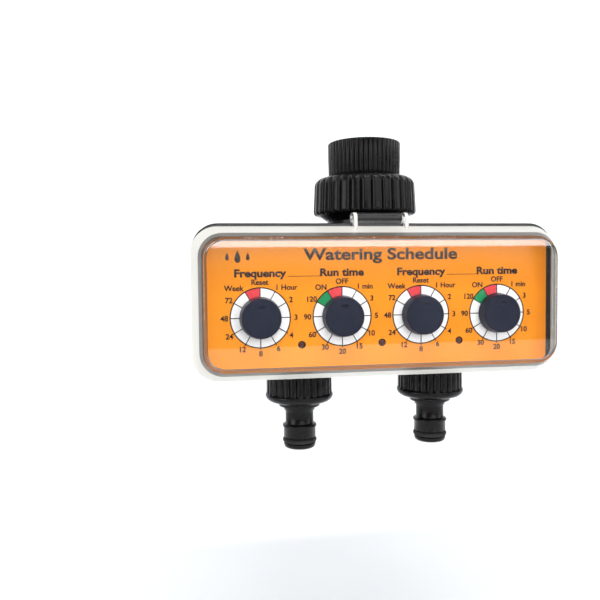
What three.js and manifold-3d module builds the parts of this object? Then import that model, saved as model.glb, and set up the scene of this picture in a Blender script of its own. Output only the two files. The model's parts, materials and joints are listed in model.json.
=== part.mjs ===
// Drip irrigation timer with two outlets: a sealed box that hangs from a tap, with four setting dials
// behind a clear flap, two motor-driven ball valves inside, and a click nozzle under each valve.
// Millimetres, +Z up. The origin is the centre of the inlet's top rim, and the front looks along -Y.
import * as THREE from "three";
import { mergeVertices } from "three/addons/utils/BufferGeometryUtils.js";
import Module from "manifold-3d";

const wasm = await Module();
wasm.setup();

// ---------------------------------------------------------------- driving dimensions
const GAP = 0.3; // left between pieces that touch
const PAST = 0.5; // how far a cutter runs past the face that it opens

// Case: a box in two halves that meet on the plane of the pipe axes, Y = 0.
const CASE_WIDTH = 172.8;
const CASE_TOP = -41.9;
const CASE_BOTTOM = -113;
const CASE_CORNER = 12;
const CASE_WALL = 2.4;
const CASE_FRONT = -28;
const CASE_BACK = 28;
const CASE_EDGE = 3; // rounding of the rear edges
const CASE_HEIGHT = CASE_TOP - CASE_BOTTOM;
const CASE_MIDDLE = (CASE_TOP + CASE_BOTTOM) / 2;
const NECK_HOLE = 16.3;
const OUTLET_HOLE = 13.6;
const INSIDE_TOP = CASE_TOP - CASE_WALL;
const INSIDE_BOTTOM = CASE_BOTTOM + CASE_WALL;
const INSIDE_BACK = CASE_BACK - CASE_WALL;

// Clear flap over the dials, and the hinge behind its top edge.
const LID_WIDTH = 173.8;
const LID_TOP = -43.4;
const LID_BOTTOM = -113;
const LID_WALL = 2;
const LID_FRONT = -41.6;
const LID_REAR = CASE_FRONT - 0.4;
const LID_DRAFT = 5.6; // how far its walls lean in, from the rear rim to the front
const LID_EDGE = 1;
const LID_INNER_EDGE = 0.4;
const LID_HEIGHT = LID_TOP - LID_BOTTOM;
const LID_MIDDLE = (LID_TOP + LID_BOTTOM) / 2;
const HINGE_Y = -25.5;
const HINGE_Z = -39.4;
const HINGE_BARREL_HALF = 10.9;
const HINGE_BARREL_RADIUS = 2.6;
const EAR_THICK = 1.8;
const EAR_RADIUS = 2.3;
const EAR_FRONT = -31.4; // the leg of each ear, from here back to EAR_REAR
const EAR_REAR = CASE_FRONT - 0.6;
const HINGE_PIN_RADIUS = 1;
const HINGE_BORE = HINGE_PIN_RADIUS + 0.4;

// Control panel, faceplate and dials.
const PANEL_WIDTH = 168;
const PANEL_HEIGHT = 63.6;
const PANEL_CORNER = 9.6;
const PANEL_FRONT = -29.6;
const PANEL_BACK = -27;
const PANEL_LEDGE = 1.7; // thickness of the ledge that the panel lies on
const PANEL_MARGIN = 4; // width of that ledge all round
const PANEL_BUSHING_HOLE = 4.7;
const FACEPLATE_WIDTH = 162.8;
const FACEPLATE_HEIGHT = 57.6;
const FACEPLATE_CORNER = 3;
const FACEPLATE_FRONT = -30.3;
const FACEPLATE_THICK = 0.4;
const FACEPLATE_MIDDLE = -78.7;
const DIAL_Z = -84.5;
const DIAL_PITCH = 37.5;
const DIAL_COUNT = 4;
const KNOB_RADIUS = 9.5;
const KNOB_TAPER = 0.6; // how much smaller the radius is at the front
const KNOB_BACK = FACEPLATE_FRONT - 0.6;
const KNOB_HEIGHT = 6;
const KNOB_EASE = 0.6;
const KNOB_BORE_DEPTH = 4.6;
const SPINDLE_RADIUS = 3;
const SPINDLE_FLAT = 1.7; // from the spindle's axis to its flat
const SWITCH_SIZE = 17;
const SWITCH_BUSHING = 4.2;
const SWITCH_BACK = -19.2;
const BOARD_BACK = -17.3;
const BOARD_THICK = 1.6;
const BOARD_HALF_WIDTH = 74;
const BOARD_TOP = -52;
const BOARD_BOTTOM = -105;
const LED_RADIUS = 1.5;
const LED_DROP = 12.6; // lamps sit this far below the dials' centres, midway between them

// Inlet stack, from the rim down.
const BUSH_RADIUS = 18.1;
const BUSH_COLLAR = 17.3;
const BUSH_RIBS = 48;
const BUSH_BORE = 12.1; // crest radius of a 3/4 inch female thread
const BUSH_SHANK = 16.6; // a 1 inch male thread, inside the nut
const WATERWAY = 9.5;
const NUT_RADIUS = 25.7;
const NUT_TOP = -17.6;
const NUT_BOTTOM = -36.2;
const NUT_RIBS = 30;
const NUT_BORE = 16.9;
const NUT_SKIRT = 2.4; // height of the cone under the ribs
const NECK_RADIUS = 14.7;
const NECK_FLANGE = 16.2;
const NECK_FLANGE_TOP = -29.4;
const NECK_FLANGE_BOTTOM = -31.2;
const WASHER_THICK = 2;
const WASHER_BORE = 9.3;
const FILTER_RIM = 15.9;
const FILTER_RIM_THICK = 0.8;
const FILTER_CUP = 8.6;
const FILTER_CUP_BORE = 7.9;
const FILTER_BOTTOM = -42;
const SHOULDER_RADIUS = 18.7;
const CROSS_TUBE_Z = -64;
const CROSS_TUBE_RADIUS = 10.2;
const CROSS_TUBE_BORE = 7;
const SOCKET_BOTTOM = -78;
const NECK_STEM = NECK_RADIUS - 2; // the neck's radius inside the case
const NECK_STEP = 2.3; // height of the collar under the case's top wall

// Valves and their drives, one under each half of the cross tube.
const OUTLET_X = 34.35;
const VALVE_RADIUS = 13;
const VALVE_BORE = 7.6;
const VALVE_FLANGE = 15.5;
const VALVE_FLANGE_TOP = INSIDE_BOTTOM + 2;
const BALL_Z = -93;
const BALL_RADIUS = 10.2;
const STEM_RADIUS = 2.3;
const STEM_END = 20.4;
const SPIGOT_RADIUS = 13.2;
const SPIGOT_BOTTOM = -123.6;
const GEAR_MODULE = 0.72;
const GEAR_TEETH = 30;
const PINION_TEETH = 10;
const GEAR_NEAR = 15.4; // distances outboard of the valve's axis
const GEAR_FAR = 19.4;
const GEARBOX_NEAR = 13.4;
const GEARBOX_HALF_WIDTH = 13.6;
const GEARBOX_WALL = 1.6;
const GEARBOX_BOTTOM = -106.6;
const GEARBOX_TOP = -72;
const MOTOR_NEAR = 20.7;
const MOTOR_FAR = 44;
const MOTOR_RADIUS = 7.8;
const MOTOR_SHAFT = 1.2;
const MOTOR_PLATE = 1.6;
const PINION_Z = BALL_Z + (GEAR_MODULE * (GEAR_TEETH + PINION_TEETH)) / 2 + 0.15;

// Click nozzles that screw onto the outlets.
const ADAPTER_RADIUS = 16.4;
const ADAPTER_TOP = CASE_BOTTOM - GAP;
const ADAPTER_FLOOR = -126.2;
const ADAPTER_RIBS = 28;
const ADAPTER_RIM_RADIUS = 16.9;
const ADAPTER_RIM_TOP = -124.8;
const ADAPTER_BORE = 13.5;
const NOZZLE_END = -152.2;
const NOZZLE_BORE = 4.6;
const O_RING_Z = -148.4;
const O_RING_RADIUS = 7.35;
const O_RING_SECTION = 1.2;
const NOZZLE_RADIUS = 8;
const NOZZLE_NECK = 7;
const CATCH_RING = 8.55;
const FLANGE_RADIUS = 10.3;
const OUTLET_WASHER = 12.6;

// Battery tray: it slides out of the case's underside, behind the pipes.
const TRAY_HALF = 14;
const TRAY_FRONT = 12.5;
const TRAY_BACK = 24.9;
const TRAY_TOP = -64;
const TRAY_WALL = 1.4;
const TRAY_PLATE_TOP = -114.6;
const TRAY_PLATE_THICK = 2.6;
const TRAY_PLATE_HALF = 16.2;
const TRAY_PLATE_LAP = 2; // how far the plate reaches past the tray's front and back
const TRAY_PLAY = 0.4;
const GUIDE_THICK = 1.5;
const SEAL_HALF = 16;
const CELL_RADIUS = 5.25;
const CELL_LENGTH = 43.3;
const CELL_X = 6.1;
const CELL_Y = 19.3;
const CELL_BOTTOM = -110.3;

// Screws that hold the two halves together, driven in from the back.
const POST_RADIUS = 3.6;
const REAR_POST_RADIUS = 4.4;
const SCREW_BORE = 1.7;
const SCREW_RADIUS = 1.35;
const SCREW_HEAD = 2.8;
const SCREW_HEAD_HEIGHT = 2;
const COUNTERBORE = 3.3;
const COUNTERBORE_FLOOR = 16;
const SCREW_TIP = -8;
const POST_FRONT = -22;
const CORNER_POST_X = 79.07;
const POSTS = [
  [-CORNER_POST_X, -49.2],
  [CORNER_POST_X, -49.2],
  [-CORNER_POST_X, -105.7],
  [CORNER_POST_X, -105.7],
  [-24, -47.4],
  [24, -47.4],
];

// ---------------------------------------------------------------- materials
const plastic = (color, roughness) => new THREE.MeshStandardMaterial({ color, roughness, metalness: 0 });
const metal = (color, roughness) => new THREE.MeshStandardMaterial({ color, roughness, metalness: 1 });

const BLACK_CASE = plastic(0x1c1c1f, 0.45);
const BLACK_FITTING = plastic(0x17171a, 0.4);
const BLACK_KNOB = plastic(0x25263a, 0.35);
const ORANGE_FACE = plastic(0xf59a32, 0.5);
const WHITE_PLASTIC = plastic(0xe8e6df, 0.5);
const GREEN_BOARD = plastic(0x1f6b3a, 0.6);
const RUBBER = plastic(0x101010, 0.9);
const SWITCH_BLUE = plastic(0x2b4f9e, 0.5);
const LED_RED = plastic(0x3a0d10, 0.2);
const CELL_SLEEVE = plastic(0x8c9298, 0.4);
const STEEL = metal(0xb9bcc0, 0.3);
const BRASS = metal(0xb08d45, 0.35);
const CLEAR = new THREE.MeshStandardMaterial({
  color: 0xf2f6f7,
  roughness: 0.08,
  metalness: 0,
  transparent: true,
  opacity: 0.25,
});

// ---------------------------------------------------------------- solids
// A closed geometry as a solid: equal corners merged, collapsed triangles dropped.
function solid(geometry) {
  const corners = new THREE.BufferGeometry();
  const loose = geometry.index ? geometry.toNonIndexed() : geometry;
  corners.setAttribute("position", loose.getAttribute("position"));
  const merged = mergeVertices(corners, 1e-4);
  const index = merged.index.array;
  const triVerts = [];
  for (let i = 0; i < index.length; i += 3) {
    const [a, b, c] = index.subarray(i, i + 3);
    if (a !== b && b !== c && c !== a) triVerts.push(a, b, c);
  }
  return new wasm.Manifold(
    new wasm.Mesh({
      numProp: 3,
      vertProperties: merged.getAttribute("position").array,
      triVerts: new Uint32Array(triVerts),
    }),
  );
}

const join = (first, ...others) => others.reduce((all, next) => all.add(next), first);
const cut = (first, ...tools) => tools.reduce((left, tool) => left.subtract(tool), first);

function box(xMin, xMax, yMin, yMax, zMin, zMax) {
  const geometry = new THREE.BoxGeometry(xMax - xMin, yMax - yMin, zMax - zMin);
  geometry.translate((xMin + xMax) / 2, (yMin + yMax) / 2, (zMin + zMax) / 2);
  return solid(geometry);
}

// Round rods along each axis: a and b are the two ends' places on that axis.
function rodX(radius, a, b, y, z, sides = 16) {
  const geometry = new THREE.CylinderGeometry(radius, radius, Math.abs(b - a), sides);
  geometry.rotateZ(Math.PI / 2);
  geometry.translate((a + b) / 2, y, z);
  return solid(geometry);
}

function rodY(radius, a, b, x, z, sides = 16) {
  const geometry = new THREE.CylinderGeometry(radius, radius, Math.abs(b - a), sides);
  geometry.translate(x, (a + b) / 2, z);
  return solid(geometry);
}

function rodZ(radius, a, b, x, y, sides = 20) {
  const geometry = new THREE.CylinderGeometry(radius, radius, Math.abs(b - a), sides);
  geometry.rotateX(Math.PI / 2);
  geometry.translate(x, y, (a + b) / 2);
  return solid(geometry);
}

// A profile of [radius, height] points, from the bottom up, turned about a vertical axis at x, y.
function turned(profile, x, y, sides = 24) {
  const geometry = new THREE.LatheGeometry(
    profile.map(([radius, height]) => new THREE.Vector2(radius, height)),
    sides,
  );
  geometry.rotateX(Math.PI / 2);
  geometry.translate(x, y, 0);
  return solid(geometry);
}

// A rounded rectangle centred on (0, middle).
function roundedOutline(width, height, corner, middle, steps) {
  const shape = new THREE.Shape();
  const right = width / 2 - corner;
  const top = middle + height / 2 - corner;
  const bottom = middle - height / 2 + corner;
  shape.absarc(right, top, corner, 0, Math.PI / 2);
  shape.absarc(-right, top, corner, Math.PI / 2, Math.PI);
  shape.absarc(-right, bottom, corner, Math.PI, 1.5 * Math.PI);
  shape.absarc(right, bottom, corner, 1.5 * Math.PI, 2 * Math.PI);
  return new THREE.Shape(shape.getPoints(steps));
}

// A prism of an outline drawn in X and Z, between two places on Y.
function prismY(outline, yFront, yBack) {
  const geometry = new THREE.ExtrudeGeometry(outline, { depth: yBack - yFront, bevelEnabled: false });
  geometry.rotateX(Math.PI / 2);
  geometry.translate(0, yBack, 0);
  return solid(geometry);
}

// A prism of an outline drawn in Y and Z, between two places on X.
function prismX(outline, xMin, xMax) {
  const geometry = new THREE.ExtrudeGeometry(outline, { depth: xMax - xMin, bevelEnabled: false });
  const turn = new THREE.Matrix4().makeBasis(
    new THREE.Vector3(0, 1, 0),
    new THREE.Vector3(0, 0, 1),
    new THREE.Vector3(1, 0, 0),
  );
  geometry.applyMatrix4(turn);
  geometry.translate(xMin, 0, 0);
  return solid(geometry);
}

// A rounded slab in X and Z, cut square at ySquare and rounded off at yRound. Its walls lean in by draft.
function roundedSlab(width, height, corner, middle, edge, yRound, ySquare, steps, draft = 0) {
  const facing = Math.sign(yRound - ySquare);
  const reach = Math.abs(yRound - ySquare);
  const geometry = new THREE.ExtrudeGeometry(roundedOutline(width, height, corner, middle, steps), {
    depth: 2 * (reach - edge),
    bevelSize: edge,
    bevelOffset: -edge,
    bevelThickness: edge,
    bevelSegments: 2,
  });
  geometry.rotateX(Math.PI / 2);
  geometry.translate(0, ySquare + reach - edge, 0);
  const place = geometry.getAttribute("position");
  for (let i = 0; i < place.count; i += 1) {
    const lean = (2 * draft * (place.getY(i) - ySquare)) / (yRound - ySquare);
    place.setX(i, place.getX(i) * (1 - lean / width));
    place.setZ(i, middle + (place.getZ(i) - middle) * (1 - lean / height));
  }
  const whole = solid(geometry);
  const far = ySquare - facing * (reach + 1);
  const [yMin, yMax] = [Math.min(ySquare, far), Math.max(ySquare, far)];
  return cut(whole, box(-width, width, yMin, yMax, middle - height, middle + height));
}

// A ring of ribs: each has a crest of half the pitch and a valley between it and the next.
function ribbedOutline(radius, depth, ribs) {
  const points = [];
  for (let rib = 0; rib < ribs; rib += 1) {
    [0, 0.28, 0.72].forEach((share, step) => {
      const angle = ((rib + share) / ribs) * 2 * Math.PI;
      const reach = step === 0 ? radius - depth : radius;
      points.push(new THREE.Vector2(reach * Math.cos(angle), reach * Math.sin(angle)));
    });
  }
  return new THREE.Shape(points);
}

// A ribbed ring that stands on zMin, with its top and bottom edges eased by the given amount.
function ribbedRing(radius, depth, ribs, zMin, zMax, ease, x) {
  const geometry = new THREE.ExtrudeGeometry(ribbedOutline(radius, depth, ribs), {
    depth: zMax - zMin - 2 * ease,
    bevelEnabled: ease > 0,
    bevelSize: ease,
    bevelOffset: -ease,
    bevelThickness: ease,
    bevelSegments: 1,
  });
  geometry.translate(x, 0, zMin + ease);
  return solid(geometry);
}

// A spur gear in the Y-Z plane, between two places on X. turn shifts its first tooth, in teeth.
function spurGear(teeth, bore, xMin, xMax, z, turn) {
  const pitchRadius = (GEAR_MODULE * teeth) / 2;
  const outline = new THREE.Shape();
  const corners = [
    [-0.3, -1.2],
    [-0.11, 0.9],
    [0.11, 0.9],
    [0.3, -1.2],
  ];
  const points = [];
  for (let tooth = 0; tooth < teeth; tooth += 1) {
    corners.forEach(([share, modules]) => {
      const angle = Math.PI / 2 + ((tooth + turn + share) / teeth) * 2 * Math.PI;
      const reach = pitchRadius + modules * GEAR_MODULE;
      points.push(new THREE.Vector2(reach * Math.cos(angle), z + reach * Math.sin(angle)));
    });
  }
  outline.setFromPoints(points);
  const blank = prismX(outline, xMin, xMax);
  return bore > 0 ? cut(blank, rodX(bore, xMin - PAST, xMax + PAST, 0, z, 16)) : blank;
}

// ---------------------------------------------------------------- the part
const timer = new THREE.Group();

function place(name, body, material) {
  const made = body.getMesh();
  const geometry = new THREE.BufferGeometry();
  geometry.setAttribute("position", new THREE.BufferAttribute(made.vertProperties, 3));
  geometry.setIndex(new THREE.BufferAttribute(made.triVerts, 1));
  geometry.computeVertexNormals();
  const mesh = new THREE.Mesh(geometry, material);
  mesh.name = name;
  timer.add(mesh);
}

const SIDES = [
  ["left", -1],
  ["right", 1],
];
const dialX = (number) => (number - (DIAL_COUNT + 1) / 2) * DIAL_PITCH;
const DIALS = [1, 2, 3, 4];
const KNOB_NAMES = ["frequency_knob_1", "run_time_knob_1", "frequency_knob_2", "run_time_knob_2"];
const LAMPS = [1, 2, 3];
const lampX = (number) => (number - 2) * DIAL_PITCH;

// Where the inlet's neck and the two outlets pass through the case.
function pipeHoles() {
  const neck = rodZ(NECK_HOLE, CASE_TOP + PAST, INSIDE_TOP - PAST, 0, 0, 24);
  const outlets = SIDES.map(([, side]) =>
    rodZ(OUTLET_HOLE, INSIDE_BOTTOM + PAST, CASE_BOTTOM - PAST, side * OUTLET_X, 0, 24),
  );
  return [neck, ...outlets];
}

function caseHollow(yFront, yBack) {
  const outline = roundedOutline(
    CASE_WIDTH - 2 * CASE_WALL,
    CASE_HEIGHT - 2 * CASE_WALL,
    CASE_CORNER - CASE_WALL,
    CASE_MIDDLE,
    3,
  );
  return prismY(outline, yFront, yBack);
}

function frontCase() {
  const outer = roundedOutline(CASE_WIDTH, CASE_HEIGHT, CASE_CORNER, CASE_MIDDLE, 4);
  const recess = roundedOutline(
    PANEL_WIDTH + 2 * GAP,
    PANEL_HEIGHT + 2 * GAP,
    PANEL_CORNER + GAP,
    LID_MIDDLE,
    4,
  );
  const window = roundedOutline(
    PANEL_WIDTH - 2 * PANEL_MARGIN,
    PANEL_HEIGHT - 2 * PANEL_MARGIN,
    PANEL_CORNER - PANEL_MARGIN,
    LID_MIDDLE,
    2,
  );
  const split = -GAP / 2;
  const ledgeBack = PANEL_BACK + GAP + PANEL_LEDGE;
  const shell = cut(
    prismY(outer, CASE_FRONT, split),
    prismY(recess, CASE_FRONT - PAST, PANEL_BACK + GAP),
    prismY(window, CASE_FRONT, ledgeBack + PAST),
    caseHollow(ledgeBack, split + PAST),
    ...pipeHoles(),
  );
  const posts = POSTS.map(([x, z]) => rodY(POST_RADIUS, POST_FRONT, split, x, z, 12));
  const bores = POSTS.map(([x, z]) => rodY(SCREW_BORE, SCREW_TIP - 1.5, split + PAST, x, z, 10));
  const saddle = box(
    -HINGE_BARREL_HALF,
    HINGE_BARREL_HALF,
    CASE_FRONT,
    HINGE_Y + HINGE_BARREL_RADIUS,
    CASE_TOP - 0.6,
    HINGE_Z,
  );
  const barrel = rodX(HINGE_BARREL_RADIUS, -HINGE_BARREL_HALF, HINGE_BARREL_HALF, HINGE_Y, HINGE_Z, 16);
  const pinBore = rodX(HINGE_BORE, -HINGE_BARREL_HALF - 1, HINGE_BARREL_HALF + 1, HINGE_Y, HINGE_Z, 12);
  return cut(join(shell, saddle, barrel, ...posts), pinBore, ...bores);
}

function rearCase() {
  const split = GAP / 2;
  const block = roundedSlab(
    CASE_WIDTH,
    CASE_HEIGHT,
    CASE_CORNER,
    CASE_MIDDLE,
    CASE_EDGE,
    CASE_BACK,
    split,
    4,
  );
  const posts = POSTS.map(([x, z]) => rodY(REAR_POST_RADIUS, split, INSIDE_BACK + PAST, x, z, 12));
  const guides = SIDES.map(([, side]) => {
    const near = side * (TRAY_HALF + PAST);
    const far = near + side * GUIDE_THICK;
    return box(
      Math.min(near, far),
      Math.max(near, far),
      TRAY_FRONT,
      INSIDE_BACK + PAST,
      INSIDE_BOTTOM - PAST,
      TRAY_TOP,
    );
  });
  const slot = box(
    -TRAY_HALF - TRAY_PLAY,
    TRAY_HALF + TRAY_PLAY,
    TRAY_FRONT - TRAY_PLAY,
    TRAY_BACK + TRAY_PLAY,
    CASE_BOTTOM - PAST,
    INSIDE_BOTTOM + PAST,
  );
  const shell = cut(block, caseHollow(split - PAST, INSIDE_BACK), ...pipeHoles());
  const bores = POSTS.map(([x, z]) => rodY(SCREW_BORE, split - PAST, COUNTERBORE_FLOOR + PAST, x, z, 10));
  const counterbores = POSTS.map(([x, z]) =>
    rodY(COUNTERBORE, COUNTERBORE_FLOOR, CASE_BACK + PAST, x, z, 16),
  );
  return cut(join(shell, ...posts, ...guides), slot, ...bores, ...counterbores);
}

// A screw whose head has a cross recess.
function caseScrew([x, z]) {
  const seat = COUNTERBORE_FLOOR + GAP;
  const top = seat + SCREW_HEAD_HEIGHT;
  const floor = top - SCREW_HEAD_HEIGHT / 2;
  const reach = 0.57 * SCREW_HEAD;
  const half = 0.35;
  const head = rodY(SCREW_HEAD, seat, top, x, z, 16);
  const shank = rodY(SCREW_RADIUS, SCREW_TIP, floor, x, z, 10);
  const slotLong = box(x - reach, x + reach, floor, top + PAST, z - half, z + half);
  const slotTall = box(x - half, x + half, floor, top + PAST, z - reach, z + reach);
  return cut(join(head, shank), slotLong, slotTall);
}

// The flap: a drafted tray with two ears that reach back over the case to the hinge pin.
function lid() {
  const outer = roundedSlab(
    LID_WIDTH,
    LID_HEIGHT,
    CASE_CORNER,
    LID_MIDDLE,
    LID_EDGE,
    LID_FRONT,
    LID_REAR,
    4,
    LID_DRAFT,
  );
  const inner = roundedSlab(
    LID_WIDTH - 2 * LID_WALL,
    LID_HEIGHT - 2 * LID_WALL,
    CASE_CORNER - LID_WALL,
    LID_MIDDLE,
    LID_INNER_EDGE,
    LID_FRONT + LID_WALL,
    LID_REAR,
    3,
    (LID_DRAFT * (LID_REAR - LID_FRONT - LID_WALL)) / (LID_REAR - LID_FRONT),
  );
  const ears = SIDES.map(([, side]) => {
    const near = side * (HINGE_BARREL_HALF + GAP);
    const far = side * (HINGE_BARREL_HALF + GAP + EAR_THICK);
    return prismX(earOutline(), Math.min(near, far), Math.max(near, far));
  });
  const reach = HINGE_BARREL_HALF + EAR_THICK + 1;
  const pinBore = rodX(HINGE_BORE, -reach, reach, HINGE_Y, HINGE_Z, 12);
  return cut(join(cut(outer, inner), ...ears), pinBore);
}

// An ear's side view, in Y and Z: round at the pin, with a leg down to the flap's top wall.
function earOutline() {
  const root = LID_TOP - 2;
  const shape = new THREE.Shape();
  shape.moveTo(EAR_REAR, root);
  shape.lineTo(EAR_REAR, CASE_TOP + GAP);
  shape.lineTo(HINGE_Y - 1, HINGE_Z - EAR_RADIUS + 0.2);
  shape.absarc(HINGE_Y, HINGE_Z, EAR_RADIUS, -0.5 * Math.PI, 0.5 * Math.PI);
  shape.lineTo(EAR_REAR - 0.6, HINGE_Z + 1.3);
  shape.lineTo(EAR_FRONT, LID_TOP);
  shape.lineTo(EAR_FRONT, root);
  return new THREE.Shape(shape.getPoints(4));
}

function hingePin() {
  const reach = HINGE_BARREL_HALF + EAR_THICK + 2 * GAP;
  return rodX(HINGE_PIN_RADIUS, -reach, reach, HINGE_Y, HINGE_Z, 12);
}

function controlPanel() {
  const outline = roundedOutline(PANEL_WIDTH, PANEL_HEIGHT, PANEL_CORNER, LID_MIDDLE, 4);
  const bushings = DIALS.map((number) =>
    rodY(PANEL_BUSHING_HOLE, PANEL_FRONT - PAST, PANEL_BACK + PAST, dialX(number), DIAL_Z, 14),
  );
  const lamps = LAMPS.map((number) =>
    rodY(LED_RADIUS + 0.4, PANEL_FRONT - PAST, PANEL_BACK + PAST, lampX(number), DIAL_Z - LED_DROP, 10),
  );
  return cut(prismY(outline, PANEL_FRONT, PANEL_BACK), ...bushings, ...lamps);
}

function faceplate() {
  const outline = roundedOutline(
    FACEPLATE_WIDTH,
    FACEPLATE_HEIGHT,
    FACEPLATE_CORNER,
    FACEPLATE_MIDDLE,
    3,
  );
  const back = FACEPLATE_FRONT + FACEPLATE_THICK;
  const spindles = DIALS.map((number) =>
    rodY(SPINDLE_RADIUS + 0.6, FACEPLATE_FRONT - PAST, back + PAST, dialX(number), DIAL_Z, 14),
  );
  const lamps = LAMPS.map((number) =>
    rodY(LED_RADIUS + 0.3, FACEPLATE_FRONT - PAST, back + PAST, lampX(number), DIAL_Z - LED_DROP, 10),
  );
  return cut(prismY(outline, FACEPLATE_FRONT, back), ...spindles, ...lamps);
}

// A knob: flat-faced with an eased rim, a blind bore for its spindle, and a pointer dimple near the top.
function knob(number) {
  const front = KNOB_BACK - KNOB_HEIGHT;
  const tip = KNOB_RADIUS - KNOB_TAPER;
  const eased = 0.3 * KNOB_EASE;
  const geometry = new THREE.LatheGeometry(
    [
      [0, front],
      [tip - KNOB_EASE, front],
      [tip - eased, front + eased],
      [tip, front + KNOB_EASE],
      [KNOB_RADIUS, KNOB_BACK],
      [0, KNOB_BACK],
    ].map(([radius, y]) => new THREE.Vector2(radius, y)),
    28,
  );
  geometry.translate(dialX(number), 0, DIAL_Z);
  const boreEnd = KNOB_BACK - KNOB_BORE_DEPTH;
  const bore = rodY(SPINDLE_RADIUS + GAP, boreEnd, KNOB_BACK + PAST, dialX(number), DIAL_Z, 14);
  const dimple = new THREE.SphereGeometry(1.6, 8, 5);
  dimple.translate(dialX(number), front - 1.1, DIAL_Z + 5);
  return cut(solid(geometry), bore, solid(dimple));
}

function spindle(number) {
  const front = KNOB_BACK - KNOB_BORE_DEPTH + GAP;
  const shaft = rodY(SPINDLE_RADIUS, front, SWITCH_BACK - 1.6, dialX(number), DIAL_Z, 14);
  const flat = box(
    dialX(number) - SPINDLE_RADIUS,
    dialX(number) + SPINDLE_RADIUS,
    front - PAST,
    FACEPLATE_FRONT,
    DIAL_Z + SPINDLE_FLAT,
    DIAL_Z + SPINDLE_RADIUS + PAST,
  );
  return cut(shaft, flat);
}

function rotarySwitch(number) {
  const x = dialX(number);
  const half = SWITCH_SIZE / 2;
  const front = PANEL_BACK + GAP;
  const body = box(x - half, x + half, front, SWITCH_BACK, DIAL_Z - half, DIAL_Z + half);
  const bushing = rodY(SWITCH_BUSHING, PANEL_FRONT + 0.2, front + 1, x, DIAL_Z, 14);
  const bore = rodY(SPINDLE_RADIUS + 0.4, PANEL_FRONT, SWITCH_BACK - 1.2, x, DIAL_Z, 14);
  return cut(join(body, bushing), bore);
}

function circuitBoard() {
  const front = BOARD_BACK - BOARD_THICK;
  const foot = BOARD_BOTTOM + 1;
  const board = box(-BOARD_HALF_WIDTH, BOARD_HALF_WIDTH, front, BOARD_BACK, BOARD_BOTTOM, BOARD_TOP);
  const chip = box(-6, 6, BOARD_BACK - PAST, BOARD_BACK + 1.5, foot, foot + 6);
  const crystal = box(10, 13, BOARD_BACK - PAST, BOARD_BACK + 1.2, foot, foot + 8);
  return join(board, chip, crystal);
}

function statusLamp(number) {
  const x = lampX(number);
  const z = DIAL_Z - LED_DROP;
  const rear = BOARD_BACK - BOARD_THICK - GAP;
  const stem = rodY(LED_RADIUS, FACEPLATE_FRONT + 0.6, rear, x, z, 12);
  const dome = new THREE.SphereGeometry(LED_RADIUS, 12, 8);
  dome.scale(1, 0.5, 1);
  dome.translate(x, FACEPLATE_FRONT + 0.6, z);
  return join(stem, solid(dome));
}

function batteryTray() {
  const floor = TRAY_PLATE_TOP - 0.1;
  const body = box(-TRAY_HALF, TRAY_HALF, TRAY_FRONT, TRAY_BACK, floor, TRAY_TOP);
  const pocket = box(
    -TRAY_HALF + TRAY_WALL,
    TRAY_HALF - TRAY_WALL,
    TRAY_FRONT + TRAY_WALL,
    TRAY_BACK + PAST,
    CELL_BOTTOM - 1,
    TRAY_TOP + PAST,
  );
  const plateBottom = TRAY_PLATE_TOP - TRAY_PLATE_THICK;
  const plate = box(
    -TRAY_PLATE_HALF,
    TRAY_PLATE_HALF,
    TRAY_FRONT - TRAY_PLATE_LAP,
    TRAY_BACK + TRAY_PLATE_LAP,
    plateBottom,
    TRAY_PLATE_TOP,
  );
  const gripDepth = 3.4;
  const grip = box(-9, 9, CELL_Y - 1.7, CELL_Y + 0.5, plateBottom - gripDepth, plateBottom + PAST);
  const divider = box(-0.4, 0.4, TRAY_FRONT + 1, CELL_Y - 2.3, CELL_BOTTOM + 1, TRAY_TOP - 4);
  return join(cut(body, pocket), plate, grip, divider);
}

// A flat rubber frame between the tray's plate and the case's underside.
function batteryTraySeal() {
  const top = CASE_BOTTOM - GAP;
  const bottom = TRAY_PLATE_TOP + GAP;
  const lap = SEAL_HALF - TRAY_HALF;
  const outer = box(-SEAL_HALF, SEAL_HALF, TRAY_FRONT - lap, TRAY_BACK + lap, bottom, top);
  const inner = box(
    -TRAY_HALF - TRAY_PLAY,
    TRAY_HALF + TRAY_PLAY,
    TRAY_FRONT - TRAY_PLAY,
    TRAY_BACK + TRAY_PLAY,
    bottom - 1,
    top + 1,
  );
  return cut(outer, inner);
}

function batteryCell(side) {
  const body = rodZ(CELL_RADIUS, CELL_BOTTOM, CELL_BOTTOM + CELL_LENGTH, side * CELL_X, CELL_Y, 20);
  const top = CELL_BOTTOM + CELL_LENGTH;
  const nub = rodZ(0.36 * CELL_RADIUS, top - PAST, top + 1, side * CELL_X, CELL_Y, 12);
  return join(body, nub);
}

// The strip under the cells that joins their lower ends.
function batteryContact() {
  const top = CELL_BOTTOM - GAP;
  const reach = CELL_X + CELL_RADIUS - 0.35;
  return box(-reach, reach, CELL_Y - 4.3, CELL_Y + 4.1, top - 0.4, top);
}

// The block over the tray, with a pad for the top of each cell.
function terminalBlock() {
  const bottom = TRAY_TOP + 2;
  const padEnd = CELL_BOTTOM + CELL_LENGTH + 1.6;
  const half = TRAY_HALF - 0.6;
  const block = box(-half, half, CELL_Y - CELL_RADIUS, INSIDE_BACK - 0.4, bottom, bottom + 6);
  const pads = SIDES.map(([, side]) =>
    rodZ(CELL_RADIUS / 2, padEnd, bottom + 1, side * CELL_X, CELL_Y, 12),
  );
  return join(block, ...pads);
}

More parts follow.
